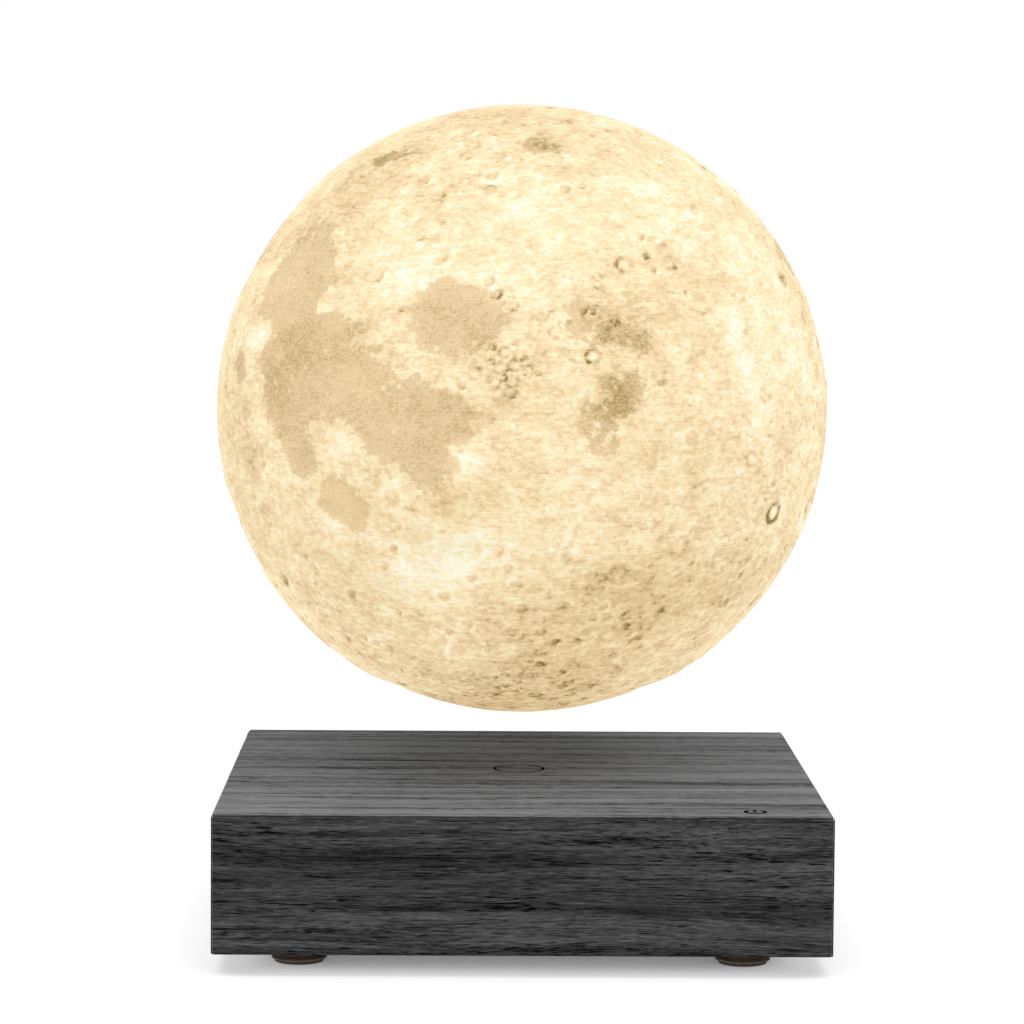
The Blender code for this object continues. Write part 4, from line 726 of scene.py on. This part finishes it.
def makeMarks():
    # The thin ring over the hover point, and the power symbol over the touch switch
    settings = markSettings
    low = boxTop + settings["clearance"] * millimetre
    high = low + settings["thickness"] * millimetre
    for name in ("ring", "power"):
        mark = settings[name]
        x, y = (value * millimetre for value in mark["place"])
        inner = (mark["radius"] - mark["line"] / 2) * millimetre
        outer = (mark["radius"] + mark["line"] / 2) * millimetre
        gap = math.radians(mark.get("gap", 0))
        bm = bmesh.new()
        section = [(inner, low), (outer, low), (outer, high), (inner, high)]
        turn = Matrix.Rotation(math.pi / 2 + gap / 2, 4, "Z")
        start = [bm.verts.new(turn @ Vector((radius, 0, height))) for radius, height in section]
        face = bm.faces.new(start)
        if gap:
            sweep = math.tau - gap
            bmesh.ops.spin(
                bm, geom=[face], cent=(0, 0, 0), axis=(0, 0, 1), angle=sweep, steps=settings["steps"] // 2
            )
            half = mark["line"] / 2 * millimetre
            bar = bmesh.ops.create_cube(bm, size=1)["verts"]
            length = mark["barLength"] * millimetre
            bmesh.ops.scale(bm, vec=(2 * half, length, high - low), verts=bar)
            middle = mark["radius"] * millimetre - length * mark["barDrop"]
            bmesh.ops.translate(bm, vec=(0, middle, (low + high) / 2), verts=bar)
        else:
            edges = list(face.edges)
            bmesh.ops.delete(bm, geom=[face], context="FACES_ONLY")
            bmesh.ops.spin(
                bm, geom=start + edges, cent=(0, 0, 0), axis=(0, 0, 1), angle=math.tau, steps=settings["steps"],
                use_merge=True,
            )
            bmesh.ops.remove_doubles(bm, verts=bm.verts, dist=mergeReach)
        bmesh.ops.translate(bm, vec=(x, y, 0), verts=bm.verts)
        bmesh.ops.recalc_face_normals(bm, faces=bm.faces)
        finishPiece("engraved_%s_mark" % name, bm, materials["charredMark"], "base")


# The moon. Latitude, longitude and radius in degrees of its own map

moonMap = {
    "radius": 73.36,  # mm
    "turn": (4.0, 1.6, -162.0),  # degrees, brings longitude 71 east to the front
    "levels": 7,
    "smallCrater": 1.4,  # degrees, one that gets the finest facets
    "fineReach": 1.35,  # of a crater's radius
    "seaDepth": 0.45,  # mm
    "roughness": 0.14,  # mm
    "lumps": (20, 0.9, 2.2, 4),  # lumps to a radius, and how their sizes mix
    "capRaise": 0.7,  # mm, the cap and the rim round it lie this far inside the round moon
    "capGap": 0.3,  # mm
    "collarWall": 2.0,  # mm
    "rimReach": 7.0,  # mm
    "skin": 1.8,  # mm, depth that holds the whole outer face of the fitted shell
    "light": (0.5, -0.2, -0.6),  # towards it, for the shades on the craters' slopes
    "farFromSea": 9.0,  # degrees
    "fading": 1.4,  # of soft patches, a higher one makes them smaller
    "seas": (
        # the oval one
        (16.6, 60.1, 6.7), (16.9, 58.4, 6.5), (16.9, 62.0, 6.4), (16.2, 56.6, 5.4), (17.0, 63.6, 5.6),
        (16.6, 65.0, 4.2),
        # Serenity
        (27.0, 20.5, 8.6), (33.0, 21.5, 5.0), (22.0, 25.5, 8.0), (21.5, 18.5, 7.0), (29.0, 26.0, 5.2),
        # Tranquillity
        (14.5, 20.5, 7.4), (9.0, 24.0, 7.6), (12.5, 31.5, 8.4), (14.5, 36.5, 4.0), (4.5, 27.0, 7.0), (6.5, 36.5, 7.0),
        (8.5, 42.0, 4.6), (10.5, 44.5, 2.2), (2.0, 22.5, 3.4), (6.0, 46.5, 4.4),
        # Fecundity
        (1.0, 45.0, 5.0), (1.5, 50.5, 5.8), (-1.0, 56.0, 5.6), (-2.5, 60.5, 3.8), (-4.0, 50.0, 6.4),
        (-7.5, 54.0, 4.8), (-5.5, 45.0, 3.0), (-11.0, 54.5, 2.6), (1.0, 59.5, 2.6),
        # Nectar and the strait that leads to it
        (-14.6, 34.6, 4.5), (-17.6, 37.0, 3.2), (-3.5, 26.0, 3.6), (-7.5, 28.0, 3.2),
        # on the eastern limb
        (16.7, 83.2, 2.8), (16.0, 86.0, 2.5), (13.6, 83.6, 3.3), (12.9, 87.0, 3.6), (12.2, 90.2, 3.3),
        (11.0, 92.8, 2.4),
        (3.1, 87.4, 2.8), (2.4, 90.2, 3.0), (0.2, 88.4, 3.5), (-0.9, 90.6, 2.4), (-1.9, 83.8, 2.6), (-3.8, 82.8, 2.4),
        (-5.8, 84.6, 2.4), (-6.2, 87.0, 2.3), (-3.2, 86.4, 3.0),
        # far to the west
        (11.2, 5.8, 3.0), (8.8, 7.6, 2.4),
        # near the poles
        (55.2, 79.9, 1.9), (55.3, 83.3, 1.7), (54.6, 77.5, 1.1), (55.3, 31.5, 2.4), (55.8, 35.2, 1.9),
        (53.8, 27.0, 2.2),
        # the side that faces away
        (36, -22, 15), (19, -52, 17), (40, -45, 9), (-21, -17, 10), (-10, -35, 8), (-24, -39, 6.5),
        (2, -58, 9), (-19, -93, 5), (27, 150, 3.5), (-34, 163, 4.5), (-56, 170, 5),
    ),
    "seaStrength": (
        # latitude, longitude, radius, degrees that the shore moves out
        (-14, 53, 4, -0.5), (13.8, 87.5, 6, -1.6), (-1, 87, 6, -1.2), (15.5, 15.8, 3.0, -6.0),
        (14.4, 11.1, 3.0, -6.0), (15.8, 23.0, 1.6, -3.0), (20.5, 31.5, 3.0, -5.0),
    ),
    "tones": (
        # bright and dull ground: latitude, longitude, radius, gain
        (-31, 56, 5, 0.10), (-45, 36, 7, 0.12), (-62, 48, 8, -0.08), (47, 34, 7, -0.08), (13, 88.5, 6, -0.07),
        (1.5, 88.5, 4.5, -0.08), (-4, 86, 4, -0.04),
        (35.5, 101, 12, 0.10), (29, 88, 12, 0.06), (-28, 56, 8, 0.21), (-24, 66, 8, 0.14), (-30, 45, 7, 0.10),
        (27, 43, 8, 0.12), (14.5, 49.5, 3.4, 0.14), (24, 50, 6, 0.10), (5, 117, 9, 0.13), (-5, 119, 8, 0.09),
        (25, 122, 14, 0.06), (-8.6, 61.5, 4.0, 0.26), (-18, 85, 9, 0.05), (-20, 32, 5, 0.10), (34, 60, 12, 0.07),
        (39, 77, 11, 0.05), (10, 108, 9, 0.03), (-14, 46, 4, 0.12), (-1, 16, 5, 0.08), (-8, 21, 5, 0.10),
        (-6, 36, 4.5, 0.12), (-26, 30, 8, 0.04), (45, 84, 8, 0.03), (14, 43.5, 2.8, 0.05), (20, 132, 12, 0.08),
        (-43, 94, 16, -0.11), (-58, 53, 18, -0.05), (-36, 4, 14, -0.06), (-62, 90, 18, -0.10), (-35, 124, 10, -0.10),
        (62, 100, 12, -0.08), (60, 36, 14, -0.08), (50, 22, 7, -0.08), (40, 8, 13, -0.10), (-28, 92, 9, -0.05),
        (-45, 125, 12, -0.07),
        (9, 71, 6, -0.10), (2, 68, 6, -0.08), (-48, 26, 14, -0.03), (43, 32, 6, -0.12), (72, 60, 14, -0.10),
        (-12, 68, 8, -0.03), (-70, 60, 16, -0.25), (55.5, 33, 4, -0.08), (24, 31, 3, 0.03), (54, 33, 4, 0.06),
        (-40, 62, 12, -0.05), (1.8, 89, 3.0, -0.03), (8.5, 92.5, 6, -0.11), (9, 85.5, 3.5, -0.08), (-2, 4, 12, -0.10),
        (11.4, 114.4, 3.5, 0.16), (6.9, 116, 3.5, 0.17), (1.5, 117.4, 3.5, 0.17), (-4.8, 119.4, 3.2, 0.10),
        (28.6, 145.3, 2, -0.14), (25.7, 144, 2, -0.16), (22.8, 143.2, 2, -0.14), (28.9, 102.6, 2, -0.10),
        (26.4, 104.2, 2, -0.12), (23.6, 105.5, 2, -0.12), (20.7, 106.4, 2, -0.12), (-7, 104.4, 5, -0.06),
        (-8, 112, 4, -0.06), (2, 134, 9, 0.09), (-15, 36, 5, 0.06), (16, 42, 4, -0.10), (15.5, 15.8, 2.4, 0.22),
        (14.4, 11.1, 2.2, 0.20), (10.4, 6.6, 3.4, -0.06),
    ),
    "tints": (
        # towards olive, or away from it to pink: latitude, longitude, radius, share
        (8, 22, 10, 0.20), (-43, 90, 22, 0.32), (56, 84, 5, 0.35), (0, 88, 6, 0.28), (14, 87, 5, 0.16),
        (55, 30, 8, 0.3),
        (17, 60, 9, -0.40), (30, 22, 9, -0.25), (-3, 52, 10, -0.20), (10, 125, 25, -0.5), (-66, 70, 12, -0.2),
    ),
    "pitted": (
        # ground full of small craters: latitude, longitude, radius, share
        (-42, 92, 26, 1.0), (-58, 60, 20, 0.8), (25, 98, 10, 0.6), (4, 70, 9, 0.8), (50, 62, 16, 0.6),
        (-28, 110, 16, 0.6), (-14, 48, 7, 0.7), (10, 84, 10, 0.8), (45, -170, 60, 0.9), (-30, 170, 60, 0.9),
        (-55, -20, 40, 0.9), (40, 60, 10, 0.3), (58, 105, 14, 0.4),
    ),
    "rings": (
        # latitude, longitude, radius, how dark the ring is, how bright its middle,
        # and the degrees from east to its darkest side
        (8.4, 84.3, 1.5, 0.46, 0.26, 200), (25.2, 92.8, 1.7, 0.28, 0.04, 160), (-21.0, 127.8, 2.1, 0.80, 0.36, 250),
        (-26.7, 80.9, 2.3, 0.20, 0.12, 225), (-26.6, 102.6, 2.0, 0.26, 0.04, 330),
        (-31.7, 90.2, 2.1, 0.28, -0.04, 90),
        (-34.2, 85.3, 1.7, 0.16, -0.22, 120), (-41.1, 94.6, 1.1, 0.24, -0.10, 180),
        (-51.2, 96.3, 1.3, 0.20, -0.24, 200),
        (-51.2, 102.0, 2.2, 0.10, -0.12, 0), (-10.8, 117.2, 1.5, 0.26, 0.20, 200), (15.5, 75.7, 1.0, 0.26, 0.04, 120),
        (16.0, 77.6, 0.9, 0.26, 0.10, 60), (14.5, 79.4, 1.0, 0.30, 0.06, 330), (12.9, 77.9, 1.2, 0.30, 0.14, 240),
        (7.4, 70.5, 1.3, 0.28, 0.16, 200), (7.0, 67.9, 1.3, 0.30, 0.12, 270), (6.4, 72.7, 1.1, 0.26, 0.12, 100),
        (9.7, 68.7, 1.1, 0.28, 0.16, 180), (4.6, 69.9, 1.2, 0.24, 0.16, 220), (4.6, 66.9, 1.0, 0.24, 0.10, 300),
        (19.9, 69.4, 1.4, 0.20, 0.14, 90), (22.8, 86.8, 0.8, 0.30, 0.10, 90), (21.4, 86.6, 0.8, 0.30, 0.10, 270),
        (-11.3, 45.3, 1.6, 0.24, 0.10, 120), (52.7, 57.7, 1.3, 0.30, -0.12, 60), (42.8, 66.0, 1.1, 0.40, -0.20, 100),
        (45.2, 59.4, 1.2, 0.22, 0.06, 60),
    ),
    "craters": (
        # latitude, longitude, radius, how dark its floor is
        (26.9, 97.9, 0.85, 1.9), (24.1, 98.8, 0.7, 0.9), (24.8, 103.8, 0.7, 0.9), (19.9, 104.5, 0.7, 1.0),
        (18.9, 116.5, 0.9, 0.7), (14.9, 88.9, 1.1, 0.8), (16.7, 83.3, 0.8, 0.4), (16.4, 85.0, 0.7, 0.3),
        (31.1, 98.2, 0.8, 0.9), (30.4, 100.3, 0.8, 0.8), (28.9, 102.4, 0.7, 0.8), (3.5, 96.5, 0.8, 0.7),
        (7.5, 63.5, 0.9, 1.0), (8.3, 66.3, 0.9, 0.9), (8.6, 72.0, 0.8, 0.9), (5.4, 68.4, 0.8, 0.8),
        (6.0, 74.4, 0.8, 0.7), (4.2, 61.0, 0.9, 0.7), (2.5, 70, 0.9, 0.6), (10.8, 66.8, 0.8, 0.8),
        (11.4, 70.4, 0.7, 0.7),
        (20.5, 67.5, 1.3, 0.6), (18, 70.5, 1.2, 0.6), (23, 66, 1.2, 0.5),
        (-37.7, 79.0, 1.0, 1.3), (-46.6, 77.3, 1.0, 1.1), (-53.3, 73.1, 1.3, 1.2), (-54.4, 68.8, 0.9, 0.8),
        (-33.4, 124.4, 0.8, 0.9), (-44.5, 85, 1.3, 0.4), (-41, 86, 1.1, 0.5), (-47, 89, 1.2, 0.6),
        (-44, 99, 1.1, 0.5),
        (-38.5, 88, 1.0, 0.5), (-8.6, 61.5, 1.2, -0.5),
        (28.5, 56, 2.1, 0.1), (-25, 60, 2.4, 0.1), (16, 46.8, 0.8, -0.6), (55.2, 81.0, 1.0, 0.1), (-60, 12, 1.2, 1.2),
        (60, 50, 1.0, 0.2), (-58, -14, 3.8, 0.1), (-43, -11, 1.8, -0.6), (10, -20, 1.9, -0.6), (-9, -2, 2.8, 0.1),
        (-44, -55, 3.2, 0.1), (-5, -68, 3.0, 0.6), (1, -129, 7.0, 0.2), (-4, -157, 6.0, 0.1), (-36, -152, 7.5, 0.2),
        (6, 141, 4.6, 0.1), (-20, 149, 4.0, 0.2), (59, -146, 4.8, 0.1), (-58, 137, 4.6, 0.2),
    ),
}
strewnSettings = {  # more craters, spread over the pitted ground
    "count": 380,
    "seed": 5,
    "radii": (0.6, 2.2),
    "bias": 2.2,  # a higher one gives more small craters
    "belt": (-0.9, 0.99),  # sine of their latitudes
    "elsewhere": 0.12,  # chance on smooth ground
    "room": 0.9,  # between two, as a share of both radii
    "darkness": (-0.1, 0.9),
}
craterShape = {
    "reach": 1.9,  # of the radius
    "apron": 1.8,  # where the outer slope of the rim ends
    "depth": 0.26,  # of the radius
    "deepest": 0.55,  # mm
    "rim": 0.42,  # of the depth
    "wall": 1.9,  # steepness inside
    "peak": 0.55,
    "peakFrom": 2.2,  # degrees
}
craterTone = {
    "reach": 1.6,
    "gain": 0.24,
    "rim": 0.40,
    "ringReach": 1.9,
    "ringRim": 0.12,
    "step": 0.25,  # mm, over which a slope is measured
    "slope": 0.42,
    "darkest": 0.24,
    "brightest": 0.26,
}


def directionOf(latitude, longitude):
    lat, lon = math.radians(latitude), math.radians(longitude)
    return np.array((math.cos(lat) * math.cos(lon), math.cos(lat) * math.sin(lon), math.sin(lat)))


def degreesFrom(points, latitude, longitude):
    return np.degrees(np.arccos(np.clip(points @ directionOf(latitude, longitude), -1, 1)))


def bell(distance, width):  # 1 in the middle, fading out over the width
    return np.exp(-(distance / width) ** 2)


def blobs(points, places):
    # Soft round patches, added up
    total = np.zeros(len(points))
    for latitude, longitude, radius, gain in places:
        total += gain * np.exp(-(degreesFrom(points, latitude, longitude) / radius) ** 2 * moonMap["fading"])
    return total


def seaEdgeAt(points):
    # Degrees from the nearest shore, positive on a sea
    nearest = np.full(len(points), -moonMap["farFromSea"])
    for latitude, longitude, radius in moonMap["seas"]:
        nearest = np.maximum(nearest, radius - degreesFrom(points, latitude, longitude))
    return nearest + blobs(points, moonMap["seaStrength"])


def allCraters():
    settings = strewnSettings
    dice = random.Random(settings["seed"])
    craters = list(moonMap["craters"])
    wanted = len(craters) + settings["count"]
    smallest, widest = settings["radii"]
    while len(craters) < wanted:
        latitude = math.degrees(math.asin(dice.uniform(*settings["belt"])))
        longitude = dice.uniform(-180, 180)
        spread = dice.random() ** settings["bias"]
        radius = smallest + spread * (widest - smallest)
        place = directionOf(latitude, longitude)[None]
        chance = settings["elsewhere"] + blobs(place, moonMap["pitted"])[0]
        isWelcome = dice.random() < chance and seaEdgeAt(place)[0] < -radius
        isClear = all(
            degreesFrom(place, other[0], other[1])[0] > settings["room"] * (radius + other[2]) for other in craters
        )
        if isWelcome and isClear:
            craters.append((latitude, longitude, radius, dice.uniform(*settings["darkness"])))
    return craters


craterList = allCraters()


def craterRelief(points):
    # Bowls with raised rims, in millimetres; the widest have a small peak
    shape = craterShape
    heights = np.zeros(len(points))
    for latitude, longitude, radius, _ in craterList:
        share = degreesFrom(points, latitude, longitude) / radius
        near = share < shape["reach"]
        s = share[near]
        depth = min(shape["deepest"], shape["depth"] * math.radians(radius) * moonMap["radius"])
        bowl = shape["rim"] * s ** 2 - np.clip(shape["wall"] * (1 - s), 0, 1)
        apron = shape["rim"] * (np.clip(shape["apron"] - s, 0, 1) / (shape["apron"] - 1)) ** 2
        peak = shape["peak"] * bell(s, 0.17) if radius > shape["peakFrom"] else 0
        heights[near] += depth * (np.where(s < 1, bowl, apron) + peak)
    return heights


def seaRelief(points):
    share = np.clip((seaEdgeAt(points) + 0.5) / 2.0, 0, 1)
    return -moonMap["seaDepth"] * share * share * (3 - 2 * share)


def relief(points):
    return craterRelief(points) + seaRelief(points)


def toneAt(points, towardLight):
    # Crater floors, bright ground, and slopes shaded as the print has them, lit from the lower right
    shape = craterTone
    tone = blobs(points, moonMap["tones"])
    for latitude, longitude, radius, darkness in craterList:
        share = degreesFrom(points, latitude, longitude) / radius
        near = share < shape["reach"]
        s = share[near]
        floor = np.clip((1.1 - s) / 0.4, 0, 1)
        rim = bell(s - 1.2, 0.20)
        peak = 0.5 * bell(s, 0.20) if radius > craterShape["peakFrom"] else 0
        tone[near] += shape["gain"] * (-darkness * floor + shape["rim"] * rim)
        tone[near] += shape["gain"] * (1 + darkness) * peak
    for latitude, longitude, radius, dark, middle, side in moonMap["rings"]:
        centre = directionOf(latitude, longitude)
        away = points - centre
        share = degreesFrom(points, latitude, longitude) / radius
        near = share < shape["ringReach"]
        s = share[near]
        east = np.array((-centre[1], centre[0], 0)) / math.hypot(centre[0], centre[1])
        towardDark = east * math.cos(math.radians(side)) + np.cross(centre, east) * math.sin(math.radians(side))
        lean = np.clip(away[near] @ towardDark / math.radians(radius), -1, 1)
        ring = bell(s - 0.85, 0.28) * (0.85 + 0.40 * lean)
        rim = bell(s - 1.35, 0.22) * (0.6 - 0.4 * lean)
        tone[near] += middle * bell(s, 0.45) - dark * ring + shape["ringRim"] * rim
    step = shape["step"]
    shifted = points + towardLight * (step / moonMap["radius"])
    shifted /= np.linalg.norm(shifted, axis=1)[:, None]
    slope = (craterRelief(shifted) - craterRelief(points)) / step
    return tone - np.clip(shape["slope"] * slope, -shape["brightest"], shape["darkest"])


def makeMoonShell():
    settings = moonMap
    turn = Euler([math.radians(angle) for angle in settings["turn"]]).to_matrix()
    toMap = np.array(turn)
    bm = bmesh.new()
    bmesh.ops.create_icosphere(bm, subdivisions=settings["levels"], radius=1)
    # Finer facets round the craters, and finer still round the small ones
    for fineness in (1, 2):
        points = np.array([vert.co.normalized() for vert in bm.verts]) @ toMap
        inside = np.zeros(len(points), bool)
        for latitude, longitude, radius, *_ in [*craterList, *settings["rings"]]:
            if fineness == 1 or radius < settings["smallCrater"]:
                inside |= degreesFrom(points, latitude, longitude) < settings["fineReach"] * radius
        bm.verts.ensure_lookup_table()
        edges = [edge for edge in bm.edges if inside[edge.verts[0].index] and inside[edge.verts[1].index]]
        bmesh.ops.subdivide_edges(bm, edges=edges, cuts=1, use_grid_fill=True)
        bm.verts.index_update()
    bmesh.ops.triangulate(bm, faces=bm.faces)

    directions = np.array([vert.co.normalized() for vert in bm.verts])
    points = directions @ toMap
    heights = relief(points)
    scale, *fractal = settings["lumps"]
    heights += settings["roughness"] * np.array(
        [noise.fractal(Vector(direction) * scale, *fractal) for direction in directions]
    )
    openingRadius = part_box("bottom_cap")[1][0] + settings["capGap"] * millimetre
    radius = settings["radius"] * millimetre
    capRaise = settings["capRaise"] * millimetre
    collarAngle = math.asin((openingRadius + settings["collarWall"] * millimetre) / radius)
    polar = np.arccos(-directions[:, 2])
    heights *= millimetre * np.clip((polar - 1.1 * collarAngle) / 0.08, 0, 1)
    heights -= capRaise * np.clip(1 - (polar - collarAngle) * settings["radius"] / settings["rimReach"], 0, 1)
    for vert, direction, height in zip(bm.verts, directions, radius + heights):
        vert.co = moonCentre + Vector(direction * height)

    layers = [bm.verts.layers.float.new(name) for name in moonLayers]
    values = (
        np.clip(seaEdgeAt(points), -settings["farFromSea"], settings["farFromSea"]),
        toneAt(points, np.array(settings["light"]) @ toMap),
        np.clip(blobs(points, settings["pitted"]), 0, 1),
        np.clip(blobs(points, settings["tints"]), -1, 1),
    )
    for vert, *carried in zip(bm.verts, *values):
        for layer, value in zip(layers, carried):
            vert[layer] = value

    # The outer skin ends at the opening; the inside, its collar and its bosses are the fitted ones
    rimZ = moonCentre.z - math.sqrt((radius - capRaise) ** 2 - (openingRadius + 0.05 * millimetre) ** 2)
    bmesh.ops.bisect_plane(
        bm, geom=bm.verts[:] + bm.edges[:] + bm.faces[:], plane_co=(0, 0, rimZ), plane_no=(0, 0, -1), clear_outer=True
    )
    inner = bmesh.new()
    inner.from_mesh(frame["nodes"]["moon_shell"].data)
    bmesh.ops.remove_doubles(inner, verts=inner.verts, dist=0.005 * millimetre)
    skinRadius = radius - settings["skin"] * millimetre
    outerFaces = [
        face for face in inner.faces if all((vert.co - moonCentre).length > skinRadius for vert in face.verts)
    ]
    bmesh.ops.delete(inner, geom=outerFaces, context="FACES")
    insideMesh = bpy.data.meshes.new("inside")
    inner.to_mesh(insideMesh)
    inner.free()
    bm.from_mesh(insideMesh)
    bpy.data.meshes.remove(insideMesh)
    rims = [edge for edge in bm.edges if edge.is_boundary]
    bmesh.ops.bridge_loops(bm, edges=rims)
    bmesh.ops.triangulate(bm, faces=[face for face in bm.faces if len(face.verts) > 3])
    openEdges = sum(edge.is_boundary for edge in bm.edges)
    print("moon shell", len(bm.faces), "facets", len(rims), "rim edges", openEdges, "open")
    finishPiece("printed_moon_shell", bm, materials["moon"], "moon", ["moon_shell"], 60, False)


capSettings = {
    "steps": 144,
    "profileSteps": (8, 16),  # inside, outside
    "flatRadius": 10.0,  # mm, and so are the next three
    "wall": 1.5,
    "rimWidth": 2.3,
    "edge": 0.25,
    "carried": (-9.0, -0.12, 0.6, 0.2),  # what its vertices carry, as the moon's do
}


def makeCap():
    settings = capSettings
    low, high = (Vector(point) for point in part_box("bottom_cap"))
    radius = moonMap["radius"] * millimetre
    rim = high.x
    flat = settings["flatRadius"] * millimetre
    wall = settings["wall"] * millimetre
    edge = settings["edge"] * millimetre
    bottom = low.z - moonCentre.z
    top = high.z - moonCentre.z
    innerRim = rim - settings["rimWidth"] * millimetre
    capRaise = moonMap["capRaise"] * millimetre
    innerSteps, outerSteps = settings["profileSteps"]
    inner = [(0, bottom + wall)]
    for i in range(innerSteps + 1):
        across = flat + (innerRim - flat) * i / innerSteps
        inner.append((across, max(bottom + wall, capRaise - math.sqrt((radius - wall) ** 2 - across ** 2))))
    outer = []
    for i in range(outerSteps + 1):
        across = rim - edge + (flat - rim + edge) * i / outerSteps
        outer.append((across, capRaise - math.sqrt(radius ** 2 - across ** 2)))
    corner = (rim, outer[0][1] + edge)
    profile = [*inner, (innerRim, top), (rim, top), corner, *outer, (0, bottom)]
    bm = bmesh.new()
    spinProfile(bm, profile, moonCentre, settings["steps"])
    layers = [bm.verts.layers.float.new(name) for name in moonLayers]
    for vert in bm.verts:
        for layer, value in zip(layers, settings["carried"]):
            vert[layer] = value
    finishPiece("turned_bottom_cap", bm, materials["moon"], "moon", ["bottom_cap"], 35, False)


makeFeet()
makeMarks()
print("feet and marks made")
makeMoonShell()
makeCap()
print("moon made")
